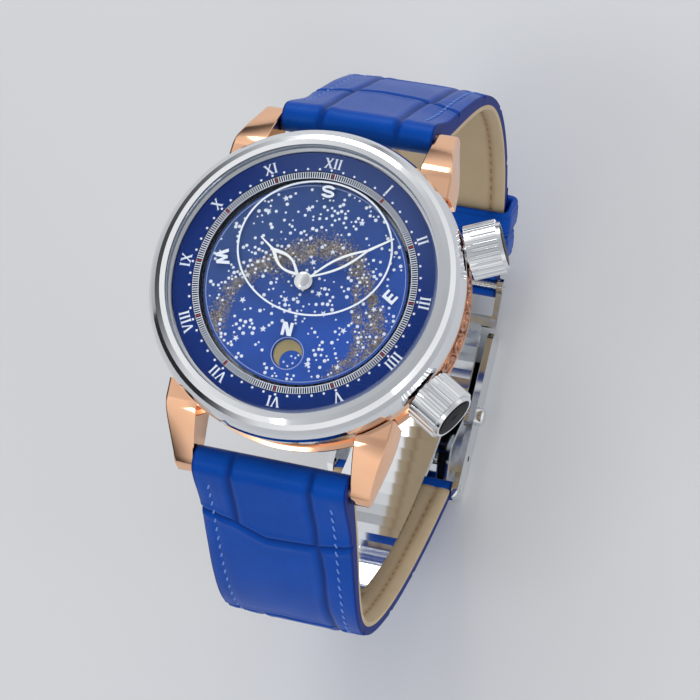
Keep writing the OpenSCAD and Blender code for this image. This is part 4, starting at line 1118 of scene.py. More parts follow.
def rounded_ring(half, up, down, radius):
    """Closed outline of a rectangle with round corners, as points and their outward ways."""
    per_corner, per_side = 9, 14
    points, ways = [], []
    corners = [(half, up, 0), (-half, up, 90), (-half, -down, 180), (half, -down, 270)]
    for (cx, cy, start), (nx, ny, _) in zip(corners, corners[1:] + corners[:1]):
        ox, oy = cx - math.copysign(radius, cx), cy - math.copysign(radius, cy)
        for i in range(per_corner + 1):
            a = math.radians(start + 90 * i / per_corner)
            points.append((ox + radius * math.cos(a), oy + radius * math.sin(a)))
            ways.append((math.cos(a), math.sin(a)))
        (x, y), way = points[-1], ways[-1]
        a = math.radians(start + 90)
        end_x = nx - math.copysign(radius, nx) + radius * math.cos(a)
        end_y = ny - math.copysign(radius, ny) + radius * math.sin(a)
        for i in range(1, per_side):
            t = i / per_side
            points.append((x + (end_x - x) * t, y + (end_y - y) * t))
            ways.append(way)
    return points, ways


def keeper_profile():
    """Section of a keeper along the strap: a rounded back, then its flat inner side."""
    profile = []
    for i in range(25):
        a = math.pi * i / 24
        rise = 0.55 + 0.45 * math.sin(a) ** 0.35 if 0 < i < 24 else 0.45
        profile.append((-math.cos(a) * KEEPER_W / 2, KEEPER_T * rise))
    return profile + [(KEEPER_W / 2 * (1 - i / 5), 0.0) for i in range(1, 10)]


def make_keeper(name, u, slack, body, node):
    """A leather loop with rolled edges and pressed furrows."""
    centre, along, inward = PATH_12.middle(u), PATH_12.along(u), PATH_12.inward(u)
    half = half_width(u) + slack
    up, down = STRAP_END_T / 2 + slack, STRAP_END_T / 2 + TAIL_GAP + TAIL_T + slack
    ring, ways = rounded_ring(half, up, down, 0.5)
    profile = keeper_profile()
    draw = np.random.default_rng(int(u * 1000))
    leans = draw.uniform(0.4, 1.0, 6)
    points, crease = [], []
    arc = np.concatenate([[0], np.cumsum(np.hypot(*np.diff(np.array(ring), axis=0).T))])
    for k, ((x, h), (wx, wh)) in enumerate(zip(ring, ways)):
        for w, rise in profile:
            press = 0.0
            if rise > KEEPER_T * 0.6:
                seam = math.exp(-(((abs(w) - KEEPER_W / 2 + 0.75) / 0.16) ** 2))
                scale = sum(
                    math.exp(-(((arc[k] - 3.0 - 7.4 * j - 0.5 * lean * w) / 0.3) ** 2))
                    for j, lean in enumerate(leans)
                )
                press = min(1.0, 0.5 * seam + 0.9 * scale)
            out = rise - 0.22 * press
            spot = centre + along * w + inward * (h + wh * out)
            points.append((x + wx * out, spot[0], spot[1]))
            crease.append(press)
    faces = grid_faces(len(ring), len(profile), True, True)
    piece = add_piece(name, points, faces, body, "blue_croc_leather", "blue_leather", True,
                      {"crease": crease, "rim": [0.0] * len(points)}, [node])
    tidy_normals(piece.data)
    return piece


def make_keepers():
    """The loose keeper rides its own body, the sewn one the upper strap half."""
    return [
        make_keeper("loose_keeper_loop", 0.853, 0.32, "floating_keeper", "floating_keeper"),
        make_keeper("sewn_keeper_loop", 0.915, 0.12, "strap_12", "fixed_keeper"),
    ]


# Prints of the dial, and their levels
PRINT_T, LINE_T = 0.02, 0.015
TRACK_Z, GLASS_Z, STAR_Z, MOON_Z = DIAL_Z - 0.12, DIAL_Z - 0.15, DIAL_Z - 0.75, DIAL_Z - 1.1


def letter_shapes():
    """Strokes of the four letters of the sky, 1.6 mm tall, as outlines."""
    return {
        "N": [[(-0.62, -0.8), (-0.26, -0.8), (-0.26, 0.8), (-0.62, 0.8)],
              [(-0.6, 0.8), (-0.14, 0.8), (0.6, -0.8), (0.14, -0.8)][::-1],
              [(0.26, -0.8), (0.62, -0.8), (0.62, 0.8), (0.26, 0.8)]],
        "E": [[(-0.58, -0.8), (-0.2, -0.8), (-0.2, 0.8), (-0.58, 0.8)],
              [(-0.22, 0.48), (0.56, 0.48), (0.56, 0.8), (-0.22, 0.8)],
              [(-0.22, -0.16), (0.44, -0.16), (0.44, 0.16), (-0.22, 0.16)],
              [(-0.22, -0.8), (0.56, -0.8), (0.56, -0.48), (-0.22, -0.48)]],
        "W": [[(-0.95, 0.8), (-0.55, 0.8), (-0.24, -0.8), (-0.62, -0.8)][::-1],
              [(-0.62, -0.8), (-0.26, -0.8), (0.17, 0.62), (-0.15, 0.62)],
              [(-0.15, 0.62), (0.17, 0.62), (0.62, -0.8), (0.26, -0.8)][::-1],
              [(0.24, -0.8), (0.62, -0.8), (0.95, 0.8), (0.57, 0.8)]],
    }


def curved_letter():
    """The letter S as one ribbon of even width."""
    line = []
    for first, last, rise in ((15, 260, 0.37), (85, -165, -0.37)):
        for a in map(math.radians, steps(first, last, 12)):
            line.append((0.42 * math.cos(a), rise + 0.36 * math.sin(a)))
    left, right = [], []
    width = 0.19
    for i, spot in enumerate(line):
        a, b = line[max(i - 1, 0)], line[min(i + 1, len(line) - 1)]
        length = math.hypot(b[0] - a[0], b[1] - a[1])
        nx, ny = -(b[1] - a[1]) / length * width, (b[0] - a[0]) / length * width
        left.append((spot[0] * 1.75 + nx, spot[1] * 0.92 + ny))
        right.append((spot[0] * 1.75 - nx, spot[1] * 0.92 - ny))
    return left, right


MINUTE_ANGLE = 54.4
TRACK_R, MINUTE_DOT_R = 14.86, 15.66
TRACK_LINES = ((14.4, 14.47), (15.24, 15.32))
OVAL_AT, OVAL_A, OVAL_B = (0.25, 4.8), 10.4, 9.1
CURVED_LETTER_AT = (0.2, 12.75)
LETTER_PLACES = {"N": ((-0.65, -6.7), 0), "W": ((-11.8, 1.3), 72), "E": ((11.9, 0.05), -60)}
NUMERALS = ["XII", "I", "II", "III", "IIII", "V", "VI", "VII", "VIII", "IX", "X", "XI"]
LETTER_WIDTH = {"I": 0.6, "V": 1.28, "X": 1.3}


def numeral_strokes(letter, height):
    """Outlines of one letter of a numeral, standing on the line y = 0."""
    bar = 0.09
    if letter == "I":
        return [box(0, 0, 0.26, height), box(0, height - bar, 0.42, bar), box(0, 0, 0.42, bar)]
    if letter == "V":
        return [
            [(-0.56, height), (-0.1, 0), (0.12, 0), (-0.26, height)],
            [(0.36, height), (-0.06, 0), (0.12, 0), (0.54, height)],
            box(-0.4, height - bar, 0.44, bar), box(0.44, height - bar, 0.34, bar),
        ]
    return [
        [(-0.54, height), (0.26, 0), (0.56, 0), (-0.24, height)],
        [(0.36, height), (-0.54, 0), (-0.34, 0), (0.56, height)],
        box(-0.36, height - bar, 0.42, bar), box(0.4, height - bar, 0.34, bar),
        box(-0.4, 0, 0.34, bar), box(0.38, 0, 0.42, bar),
    ]


def box(middle, foot, wide, tall):
    """A rectangle that stands on its foot."""
    return [
        (middle - wide / 2, foot), (middle + wide / 2, foot),
        (middle + wide / 2, foot + tall), (middle - wide / 2, foot + tall),
    ]


def print_outlines(shell, outlines, turn, low):
    """Prints strokes, each a hair higher than the last so that none lies in another's face."""
    for k, outline in enumerate(outlines):
        shell.prism(anticlockwise([turn(p) for p in outline]), low, low + PRINT_T + 0.0015 * k)


def make_numerals(settings):
    """Twelve Roman numerals that stand with their feet towards the dial's centre."""
    shell = Shell()
    height = settings.numeral_height / MM
    foot = settings.numeral_foot / MM
    for hour, numeral in enumerate(NUMERALS):
        wide = sum(LETTER_WIDTH[c] for c in numeral)
        at = -wide / 2
        for c in numeral:
            spot = at + LETTER_WIDTH[c] / 2
            at += LETTER_WIDTH[c]
            angle = 30 * hour + math.degrees(spot / (foot + height / 2))
            lift = turned(angle, clock(foot, angle))
            print_outlines(shell, numeral_strokes(c, height), lift, DIAL_Z)
    return shell.piece("numerals", "case", "pale_print")


def leaf_outline(begin, end, half, power):
    """A pointed leaf along +Y, as one closed line that runs up its right side."""
    side = [
        (half * math.sin(math.pi * i / 24) ** power, y) for i, y in enumerate(steps(begin, end, 24))
    ]
    return side + [(-x, y) for x, y in side[23:0:-1]]


def make_hand(name, body, length, leaf, width, hub, bore, angle, level, thick):
    """An open leaf on its hub, drawn out into a narrow tip."""
    begin, end, half, power = leaf
    low, high = DIAL_Z + level, DIAL_Z + level + thick
    turn = turned(angle)
    shell = Shell()
    inner = leaf_outline(begin + 3.0 * width, end - 3.6 * width, half - width, power * 0.92)
    outer = leaf_outline(begin, end, half, power)
    shell.ring([turn(p) for p in inner], [turn(p) for p in outer], low, high)
    shell.ring(circle_points(bore, 48), circle_points(hub, 48), low, high + 0.002)
    for foot, tip, wide, narrow in (
        (hub * 0.7, begin + 2.2 * width, 0.26, 0.17),
        (end - 1.6 * width, length, 0.17, 0.09),
    ):
        outline = [(-wide, foot), (wide, foot), (narrow, tip), (-narrow, tip)]
        shell.prism([turn(p) for p in outline], low, high + 0.001)
    piece = shell.piece(name, body, "white_lacquer", stands_for=[body])
    tidy_normals(piece.data)
    return piece


def make_hands():
    """Each leaf is given by where it begins and ends, its half width and how sharp it is."""
    hour_leaf, minute_leaf = (0.7, 6.7, 1.02, 1.15), (0.7, 10.0, 0.78, 1.05)
    hour_angle = 300 + MINUTE_ANGLE / 12
    return [
        make_hand("hour_leaf_hand", "hour_hand", 8.7, hour_leaf, 0.31, 1.22, 1.01, hour_angle,
                  0.18, 0.18),
        make_hand("minute_leaf_hand", "minute_hand", 13.2, minute_leaf, 0.29, 1.08, 0.71,
                  MINUTE_ANGLE, 0.52, 0.16),
    ]


def make_track(settings):
    """Ticks between two thin lines, red at the hours, and the dots of the minutes outside them."""
    w, h = settings.tick_length / MM / 2, settings.tick_width / MM / 2
    stamps = []
    for slim in (1.0, 1.7):
        shell = Shell()
        outline = [(-w, -h * slim), (w, -h * slim), (w, h * slim), (-w, h * slim)]
        shell.prism(outline, 0, 0.016)
        stamps.append(stamp_object("tick", shell.points, shell.faces))
    tick, red_tick = stamps
    dot = dome_stamp("dot", 0.03, circle_points(0.17, 10))
    count, group = settings.ticks, settings.ticks // 12
    place = (count, TRACK_R, TRACK_Z, group)
    made = [
        ring_of_stamps("track_ticks", tick, "pale_print", *place, (1, group - 1)),
        ring_of_stamps("track_red_ticks", red_tick, "red_print", *place, (0, 0)),
        ring_of_stamps("minute_dots", dot, "pale_print", 60, MINUTE_DOT_R, DIAL_Z),
    ]
    drop_stamps(tick, red_tick, dot)
    lines = Shell()
    for inner, outer in TRACK_LINES:
        lines.ring(
            circle_points(inner, 240), circle_points(outer, 240), TRACK_Z, TRACK_Z + 0.018)
    made.append(lines.piece("track_lines", "case", "pale_print"))
    return made


def make_horizon(settings):
    """The white oval and the four letters on the clear disc over the stars."""
    low, high = GLASS_Z, GLASS_Z + PRINT_T
    shell = Shell()
    line = settings.horizon_line / MM
    shell.ring(circle_points(OVAL_A, 200, OVAL_AT, OVAL_B),
               circle_points(OVAL_A + line, 200, OVAL_AT, OVAL_B + line), low, high)
    letters = letter_shapes()
    for letter, (spot, angle) in LETTER_PLACES.items():
        big = [[(x * 1.16, y * 1.14) for x, y in outline] for outline in letters[letter]]
        print_outlines(shell, big, turned(angle, spot), low)
    place = turned(0, CURVED_LETTER_AT)
    left, right = ([place(p) for p in line] for line in curved_letter())
    shell.ring(left, right, low, high, closed=False)
    piece = shell.piece("horizon_print", "case", "pale_print")
    tidy_normals(piece.data)
    return piece


# The sky under the clear disc
MOON_AT = (0.0, -9.8)
MOON_DISC_R, MOON_DISC_STARS = 12.1, 26
SKY_INNER, SKY_OUTER = 0.9, 13.45


def milky(x, y):
    """How deep in the milky band a place of the star disc lies, 0 to 1."""
    radius, angle = math.hypot(x, y + 7.5), math.atan2(x, y + 7.5)
    middle = 11.6 + 1.1 * math.sin(2.2 * angle + 0.6) + 0.5 * math.sin(5.1 * angle)
    width = 1.05 + 0.35 * math.sin(3.3 * angle + 2.0)
    band = math.exp(-(((radius - middle) / width) ** 2))
    fork = math.exp(-(((radius - middle + 2.3 * ease((angle - 0.1) / 1.0)) / 0.6) ** 2))
    clots = 0.62 + 0.38 * math.sin(x * 1.9 + 1.1 * y) * math.sin(y * 2.3 - x * 0.7)
    return min(1.0, max(band, 0.7 * fork)) * clots


def sky_ground(name, share):
    """A flat grid over the star disc with the share of copies that each place gets."""
    rings, spokes = 40, 96
    points, shares = [], []
    for r in steps(SKY_INNER, SKY_OUTER, rings):
        for x, y in circle_points(r, spokes):
            window = math.hypot(x - MOON_AT[0], y - MOON_AT[1]) < 2.6
            points.append((x, y, STAR_Z))
            shares.append(0.0 if window else share(x, y))
    mesh = millimetre_mesh(name, points, grid_faces(rings + 1, spokes, wrap_columns=True))
    mark(mesh, "share", shares)
    return mesh


def crowd(x, y):
    """How many small stars a place of the star disc gets, 0 to 1; none behind a letter."""
    clump = math.sin(0.9 * x + 1.3) * math.sin(0.8 * y - 0.4) + math.sin(0.45 * x - 0.6 * y)
    letter = min(math.hypot(x - a, y - b) for (a, b), _ in LETTER_PLACES.values())
    return min(1.0, max(0.2, 0.5 + 0.3 * clump)) if letter > 1.3 else 0.0


def make_stars(settings):
    """Small stars, the milky band, large stars, and the lines round the disc and the window."""
    seed = settings.sky_seed
    dot = dome_stamp("star_dot", 0.02, circle_points(0.1, 8))
    five = dome_stamp("five_point_star", 0.03, star_outline(0.5))
    fleck = dome_stamp("fleck", 0.012, circle_points(0.06, 5))
    made = [
        scatter_on_sky("small_stars", dot, "star_print", sky_ground("star_ground", crowd),
                       "white_paint", 0.44, settings.star_density, seed, (1.2, 2.7)),
        scatter_on_sky("milky_flecks", fleck, "dust_print", sky_ground("dust_ground", milky),
                       "sky_blue", 0.05, settings.dust_density, seed + 3, (0.8, 2.2)),
    ]
    draw = np.random.default_rng(seed + 8)
    spots, turns = [], []
    while len(spots) < settings.large_stars:
        r, a = 12.6 * math.sqrt(draw.uniform(0.01, 1)), draw.uniform(0, TAU)
        spot = (r * math.cos(a), r * math.sin(a))
        clear = all(math.hypot(spot[0] - p[0], spot[1] - p[1]) > 2.6 for p in spots)
        if clear and math.hypot(spot[0] - MOON_AT[0], spot[1] - MOON_AT[1]) > 3.0 and r > 2:
            spots.append((*spot, STAR_Z))
            turns.append((0, 0, draw.uniform(0, TAU)))
    made.append(stamps_at_points(
        "large_stars", five, "star_print", spots, turns, "star_disc", "white_paint"))
    drop_stamps(dot, five, fleck)
    for name, inner, outer, count, centre in (
        ("sky_edge_line", 13.5, 13.6, 240, (0.0, 0.0)),
        ("moon_window_line", 2.12, 2.24, 90, MOON_AT),
    ):
        line = Shell()
        line.ring(circle_points(inner, count, centre), circle_points(outer, count, centre),
                  STAR_Z, STAR_Z + LINE_T)
        made.append(line.piece(name, "star_disc", "thin_line_print"))
    return made


def make_moon():
    """A crescent and a few stars on the disc under the moon window."""
    cx, cy = MOON_AT
    outline = []
    for x, y, r, first, sweep in ((0, 0, 1.95, 0, 250), (0.7, -1.0, 1.6, 211.3, -172.6)):
        for i in range(31):
            a = math.radians(first + sweep * i / 30)
            outline.append((cx + x + r * math.cos(a), cy + y + r * math.sin(a)))
    shell = Shell()
    shell.prism(outline, MOON_Z, MOON_Z + 0.03)
    made = [shell.piece("moon_crescent", "moon_disc", "moon_gold", "brass")]
    tidy_normals(made[0].data)
    draw = np.random.default_rng(4)
    five = dome_stamp("moon_star", 0.02, star_outline(0.22))
    spots = [
        (cx + dx, cy + dy, MOON_Z)
        for dx, dy in (
            (-0.3, -1.15), (0.55, -0.2), (1.15, -0.35), (1.45, 0.1), (0.95, -1.1), (0.35, -1.6)
        )
    ]
    for _ in range(MOON_DISC_STARS):
        a, r = draw.uniform(0, TAU), MOON_DISC_R * math.sqrt(draw.uniform(0.02, 1))
        spot = (r * math.cos(a), r * math.sin(a))
        if math.hypot(spot[0] - cx, spot[1] - cy) > 2.4:
            spots.append((*spot, MOON_Z))
    turns = [(0, 0, draw.uniform(0, TAU)) for _ in spots]
    made.append(stamps_at_points(
        "moon_disc_stars", five, "star_print", spots, turns, "moon_disc", "white_paint"))
    drop_stamps(five)
    return made


# The case middle and its lugs; heights are over the dial's face
LUG_INNER, LUG_ROOT, LUG_TIP = 11.0, 15.5, 26.3
LUG_TOP, LUG_LOW, LUG_WIDE, LUG_SLOPE_FROM, LUG_END_ROUND = -3.0, -9.1, 4.7, 18.8, 0.7
CASE_PROFILE = [
    (17.6, -9.6), (20.6, -9.6), (21.1, -9.1), (21.1, -8.6), (20.6, -8.4),
    (20.6, -3.6), (21.2, -3.5), (21.2, -2.42), (17.6, -2.42),
]


def lug_section(y):
    """Outline of a lug across the strap at one distance from the dial's centre line."""
    end = max(0.0, 1 - (LUG_TIP - y) / LUG_END_ROUND) ** 2
    top = LUG_TOP - 0.375 * max(0.0, y - LUG_SLOPE_FROM) ** 1.35 - 0.8 * end
    low = LUG_LOW - 1.6 * ease((y - 17.0) / 7.0) + 0.7 * end
    wide = LUG_WIDE - 2.0 * ease((y - 16.5) / 10.5) - 0.25 * end
    return [(0.12, top), (wide - 0.3, top), (wide - 0.08, top - 0.1), (wide, top - 0.34),
            (wide, low + 0.35), (wide - 0.35, low), (0.0, low), (0.0, top - 0.12)]


def make_case():
    """The case's wall, turned round the dial, with four lugs that slope down to their tips."""
    turns, count = 192, len(CASE_PROFILE)
    points = [
        (r * math.cos(TAU * i / turns), r * math.sin(TAU * i / turns), DIAL_Z + z)
        for i in range(turns)
        for r, z in CASE_PROFILE
    ]
    faces = grid_faces(turns, count, True, True)
    spots = np.concatenate(
        [[LUG_ROOT, 18.0], np.linspace(LUG_SLOPE_FROM, LUG_TIP - LUG_END_ROUND, 12),
         [25.8, 26.0, 26.15, 26.25, LUG_TIP]]
    )
    rows, n = len(spots), len(lug_section(LUG_ROOT))
    for side in (-1, 1):
        for way in (-1, 1):
            start = len(points)
            for y in spots:
                points += [
                    (side * (LUG_INNER + x), way * y, DIAL_Z + z) for x, z in lug_section(y)
                ]
            faces += grid_faces(rows, n, wrap_columns=True, start=start, flip=True)
            faces.append([start + k for k in range(n)])
            faces.append([start + (rows - 1) * n + k for k in range(n)][::-1])
    piece = add_piece("case_wall_and_lugs", points, faces, "case", "rose_gold",
                      "rose_gold_plated_steel", True, None, ["case_middle"])
    tidy_normals(piece.data)
    piece.data.set_sharp_from_angle(angle=math.radians(24))
    return [piece]


# Carving on the flank, which stays bare round the two crowns
FLANK_R = 20.6
CARVING_SPAN, CARVING_TALL, CARVING_Z = math.radians(37), 4.8, -6.0
CROWN_AZIMUTHS, CROWN_RISE, CROWN_CLEAR = (24, -30), 1.7, 1.75


def scroll_lines(count, pitch):
    """Centre lines of running scrolls, leaves and beads, in arc length and height."""
    lines, beads = [], []
    for k in range(count):
        cx = (k - (count - 1) / 2) * pitch
        up = 1 if k % 2 == 0 else -1
        cz = 0.22 * up
        turns = np.linspace(0, 1, 46)
        angle = up * (math.radians(200) - turns * math.radians(560))
        radius = 0.24 + 1.2 * turns**0.8
        spiral = np.column_stack([cx + radius * np.cos(angle), cz + radius * 1.15 * np.sin(angle)])
        lines.append((spiral, 0.2, 0.34))
        beads.append((cx, cz, 0.3))
        t = np.linspace(0, 1, 14)
        for shift, lean in ((0.5, 1), (0.38, -0.6), (0.62, -0.5)):
            leaf_x = cx + pitch * shift + 0.55 * lean * t
            leaf_z = -up * (0.3 + 1.55 * t)
            lines.append((np.column_stack([leaf_x, leaf_z]), 0.14, 0.3))
        beads.append((cx + pitch / 2, up * 1.55, 0.2))
    return lines, beads


def carved_height(arc, rise, lines, beads):
    """Height of the scrolls over their ground, 0 to 1, on a grid along and up the flank."""
    height = np.zeros_like(arc)
    for line, thin, wide in lines:
        near = np.abs(arc - line[:, 0].mean()) < 3.2
        p = np.column_stack([arc[near], rise[near]])
        gaps = np.hypot(p[:, None, 0] - line[None, :, 0], p[:, None, 1] - line[None, :, 1])
        best = gaps.argmin(axis=1)
        share = best / (len(line) - 1)
        width = wide - (wide - thin) * np.abs(2 * share - 1) ** 2
        d = gaps[np.arange(len(p)), best] / width
        height[near] = np.maximum(height[near], np.clip(1.15 - d * d, 0, 1) ** 0.6)
    for x, y, r in beads:
        d = np.hypot(arc - x, rise - y) / r
        height = np.maximum(height, 1.05 * np.sqrt(np.clip(1 - d * d, 0, 1)))
    border = np.clip(1 - ((np.abs(rise) - CARVING_TALL / 2 + 0.28) / 0.2) ** 2, 0, 1) ** 0.5
    return np.maximum(height, border * 0.9)


def make_carving(settings):
    """A patch of scrollwork that lies round the flank between the two crowns and beyond."""
    reach, ground, mean = settings.carving_height / MM, FLANK_R + 0.02, FLANK_R + 0.4
    across, up = 420, 72
    arc, rise = np.meshgrid(
        np.linspace(-CARVING_SPAN, CARVING_SPAN, across) * mean,
        np.linspace(-CARVING_TALL / 2, CARVING_TALL / 2, up),
    )
    lines, beads = scroll_lines(settings.scrolls, settings.scroll_pitch / MM)
    height = carved_height(arc, rise, lines, beads)
    for azimuth in CROWN_AZIMUTHS:
        gap = np.hypot(arc - math.radians(azimuth) * mean, rise - CROWN_RISE)
        height *= np.clip((gap - CROWN_CLEAR) / 0.5, 0, 1)
    ends = np.clip((CARVING_SPAN * mean - np.abs(arc)) / 0.5, 0, 1)
    rims = np.clip((CARVING_TALL / 2 - np.abs(rise)) / 0.12, 0, 1)
    height *= ends * rims
    stipple = 0.05 * np.sin(arc * 9.0 + 3 * np.sin(rise * 7)) * np.sin(rise * 9.5) * (1 - height)
    radius = ground + reach * (0.02 + 0.93 * height) + stipple * reach * ends * rims
    front = np.column_stack([
        (radius * np.cos(arc / mean)).ravel(),
        (radius * np.sin(arc / mean)).ravel(),
        (DIAL_Z + CARVING_Z + rise).ravel(),
    ])
    low_row, high_row = front[:across].copy(), front[-across:].copy()
    for row, reached in ((low_row, radius[0]), (high_row, radius[-1])):
        row[:, :2] *= ((FLANK_R - 0.1) / reached)[:, None]
    # Mask of the painted shade: darkest on the ground between the scrolls and on the patch's rims
    # and back.
    hollow_shade = np.concatenate([np.clip(1.3 - height.ravel() * 1.45, 0, 1), np.ones(2 * across)])
    piece = add_piece("flank_carving", np.concatenate([front, low_row, high_row]),
                      carving_faces(across, up), "case", "carved_rose_gold",
                      "rose_gold_plated_steel", True, {"hollow_shade": hollow_shade})
    tidy_normals(piece.data)
    return piece


def carving_faces(across, up):
    """The carved grid, then its two rims and its back, which reach two more rows of points."""
    faces = grid_faces(up, across, flip=True)
    n, top = up * across, (up - 1) * across
    for i in range(across - 1):
        faces.append([i, n + i, n + i + 1, i + 1])
        faces.append([top + i, top + i + 1, n + across + i + 1, n + across + i])
        faces.append([n + i, n + across + i, n + across + i + 1, n + i + 1])
    for i in (0, across - 1):
        faces.append([j * across + i for j in range(up)] + [n + across + i, n + i])
    return faces


# What a user may change
def a_length(name, text, default):
    return FloatProperty(name=name, description=text, unit="LENGTH", default=default)


def a_power(name, text, default):
    return FloatProperty(name=name, description=text, unit="POWER", default=default)


def a_colour(name, text, written):
    return FloatVectorProperty(
        name=name, description=text, subtype="COLOR", size=3, min=0, max=1, default=shade(written)
    )


def a_number(name, text, default, least=0):
    return IntProperty(name=name, description=text, default=default, min=least)


def a_density(name, text, default):
    return FloatProperty(name=name, description=text, default=default)


class StrapSettings(bpy.types.PropertyGroup):
    leather: a_colour("Leather", "Colour of the strap's leather", "#0347a8")
    # Colour of the painted shade in the furrows
    furrow: a_colour("Furrows", "Colour in the pressed furrows", "#021650")
    lining: a_colour("Lining", "Colour of the strap's lining", "#bfaa8a")
    furrow_depth: a_length("Furrow depth", "Depth of the pressed furrows", 0.00038)
    stitch_pitch: a_length("Stitch pitch", "From one stitch to the next", 0.0019)
    stitch_length: a_length("Stitch length", "Length of one stitch", 0.0012)
    stitch_thickness: a_length("Stitch thickness", "Thickness of the thread", 0.0003)


class DialSettings(bpy.types.PropertyGroup):
    numeral_height: a_length("Numeral height", "Height of the Roman numerals", 0.00142)
    numeral_foot: a_length(
        "Numeral foot", "From the dial's centre to the foot of the numerals", 0.01593)
    ticks: a_number("Ticks", "Ticks in the track", 300, 60)
    tick_length: a_length("Tick length", "Length of a tick", 0.00076)
    tick_width: a_length("Tick width", "Width of a tick", 0.00011)
    horizon_line: a_length("Horizon line", "Width of the white oval", 0.00026)


class SkySettings(bpy.types.PropertyGroup):
    star_density: a_density("Star density", "Most small stars on a square metre", 2.4e6)
    dust_density: a_density(
        "Fleck density", "Most flecks on a square metre of the milky band", 2.6e8)
    large_stars: a_number("Large stars", "Stars with five points", 17, 1)
    sky_seed: a_number("Seed", "Picks the layout of the stars", 6)


class CarvingSettings(bpy.types.PropertyGroup):
    carving_height: a_length("Carving height", "Height of the scrolls over their ground", 0.00076)
    scrolls: a_number("Scrolls", "Scrolls along the flank", 9, 1)
    scroll_pitch: a_length("Scroll pitch", "From one scroll to the next", 0.003)


class StageSettings(bpy.types.PropertyGroup):
    floor: a_colour("Floor", "Colour of the floor", "#d2d4d7")
    key_power: a_power("Key light", "Power of the large light", 1.1)
    fill_power: a_power("Fill light", "Power of the light on the other side", 0.55)


GROUPS = {
    "watch_strap": StrapSettings,
    "watch_dial": DialSettings,
    "watch_sky": SkySettings,
    "watch_carving": CarvingSettings,
    "watch_stage": StageSettings,
}


class Step:
    """What all the operators share."""

    bl_options = {"REGISTER", "UNDO"}

    def done(self, made):
        if not made:
            raise RuntimeError(f"{self.bl_label}: nothing was made")
        return {"FINISHED"}


class WATCH_OT_stage(Step, bpy.types.Operator):
    """Sets the floor, the lamps, the world and the camera."""

    bl_idname = "watch.stage"
    bl_label = "Stage"

    def execute(self, context):
        return self.done(make_stage(context.scene.watch_stage))


class WATCH_OT_metal(Step, bpy.types.Operator):
    """Gives every part of the frame its finish."""

    bl_idname = "watch.metal"
    bl_label = "Metal, glass and enamel"

    def execute(self, context):
        return self.done(finish_nodes())


class WATCH_OT_case(Step, bpy.types.Operator):
    """Makes the case wall with its four lugs."""

    bl_idname = "watch.case"
    bl_label = "Case"

    def execute(self, context):
        return self.done(make_case())


class WATCH_OT_carving(Step, bpy.types.Operator):
    """Carves scrollwork on the flank of the case."""

    bl_idname = "watch.carving"
    bl_label = "Flank carving"

    def execute(self, context):
        return self.done(make_carving(context.scene.watch_carving))


class WATCH_OT_numerals(Step, bpy.types.Operator):
    """Prints the twelve Roman numerals."""

    bl_idname = "watch.numerals"
    bl_label = "Numerals"

    def execute(self, context):
        return self.done(make_numerals(context.scene.watch_dial))


class WATCH_OT_track(Step, bpy.types.Operator):
    """Prints the track of ticks and the dots of the minutes."""

    bl_idname = "watch.track"
    bl_label = "Track"

    def execute(self, context):
        return self.done(make_track(context.scene.watch_dial))


class WATCH_OT_horizon(Step, bpy.types.Operator):
    """Prints the horizon oval and the four letters."""

    bl_idname = "watch.horizon"
    bl_label = "Horizon"

    def execute(self, context):
        return self.done(make_horizon(context.scene.watch_dial))


class WATCH_OT_hands(Step, bpy.types.Operator):
    """Makes the two open leaf hands."""

    bl_idname = "watch.hands"
    bl_label = "Hands"

    def execute(self, context):
        return self.done(make_hands())


class WATCH_OT_stars(Step, bpy.types.Operator):
    """Strews the stars and the milky band over the turning disc."""

    bl_idname = "watch.stars"
    bl_label = "Stars"

    def execute(self, context):
        return self.done(make_stars(context.scene.watch_sky))


class WATCH_OT_moon(Step, bpy.types.Operator):
    """Prints the crescent and the stars of the moon disc."""

    bl_idname = "watch.moon"
    bl_label = "Moon"

    def execute(self, context):
        return self.done(make_moon())


class WATCH_OT_strap(Step, bpy.types.Operator):
    """Makes the leather and the lining of both strap halves."""

    bl_idname = "watch.strap"
    bl_label = "Strap"

    def execute(self, context):
        return self.done(make_strap(context.scene.watch_strap))


class WATCH_OT_stitches(Step, bpy.types.Operator):
    """Sews the four seams of the strap."""

    bl_idname = "watch.stitches"
    bl_label = "Stitches"

    def execute(self, context):
        return self.done(make_stitches(context.scene.watch_strap))


class WATCH_OT_keepers(Step, bpy.types.Operator):
    """Makes the fixed and the floating keeper."""

    bl_idname = "watch.keepers"
    bl_label = "Keepers"

    def execute(self, context):
        return self.done(make_keepers())


STEPS = [
    WATCH_OT_stage, WATCH_OT_metal, WATCH_OT_case, WATCH_OT_carving, WATCH_OT_numerals,
    WATCH_OT_track, WATCH_OT_horizon, WATCH_OT_hands, WATCH_OT_stars, WATCH_OT_moon,
    WATCH_OT_strap, WATCH_OT_stitches, WATCH_OT_keepers,
]


class WATCH_PT_panel(bpy.types.Panel):
    """Sizes, colours and steps of the watch."""

    bl_label = "Watch"
    bl_idname = "WATCH_PT_panel"
    bl_space_type = "VIEW_3D"
    bl_region_type = "UI"
    bl_category = "Watch"

    def draw(self, context):
        for name, group in GROUPS.items():
            box = self.layout.box()
            box.label(text=name.replace("watch_", "").capitalize())
            for key in group.__annotations__:
                box.prop(getattr(context.scene, name), key)
        for step in STEPS:
            self.layout.operator(step.bl_idname)


def finish_nodes():
    """One finish for each node that stays in view."""
    given = []
    for look, names in NODE_FINISHES.items():
        for name in names:
            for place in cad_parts[name].material_slots:
                place.material = finish(look)
        given += names
    return given


def make_floor(scene):
    """A plain floor just under the clasp."""
    side, cells, sunk = 1.6, 16, 0.00005
    points = [
        (-side / 2 + side * i / cells, -side / 2 + side * j / cells, -sunk)
        for j in range(cells + 1)
        for i in range(cells + 1)
    ]
    mesh = bpy.data.meshes.new("floor")
    mesh.from_pydata(points, [], grid_faces(cells + 1, cells + 1, flip=True))
    mesh.materials.append(finish("floor_paint"))
    floor = bpy.data.objects.new("floor", mesh)
    scene.collection.objects.link(floor)
    return floor


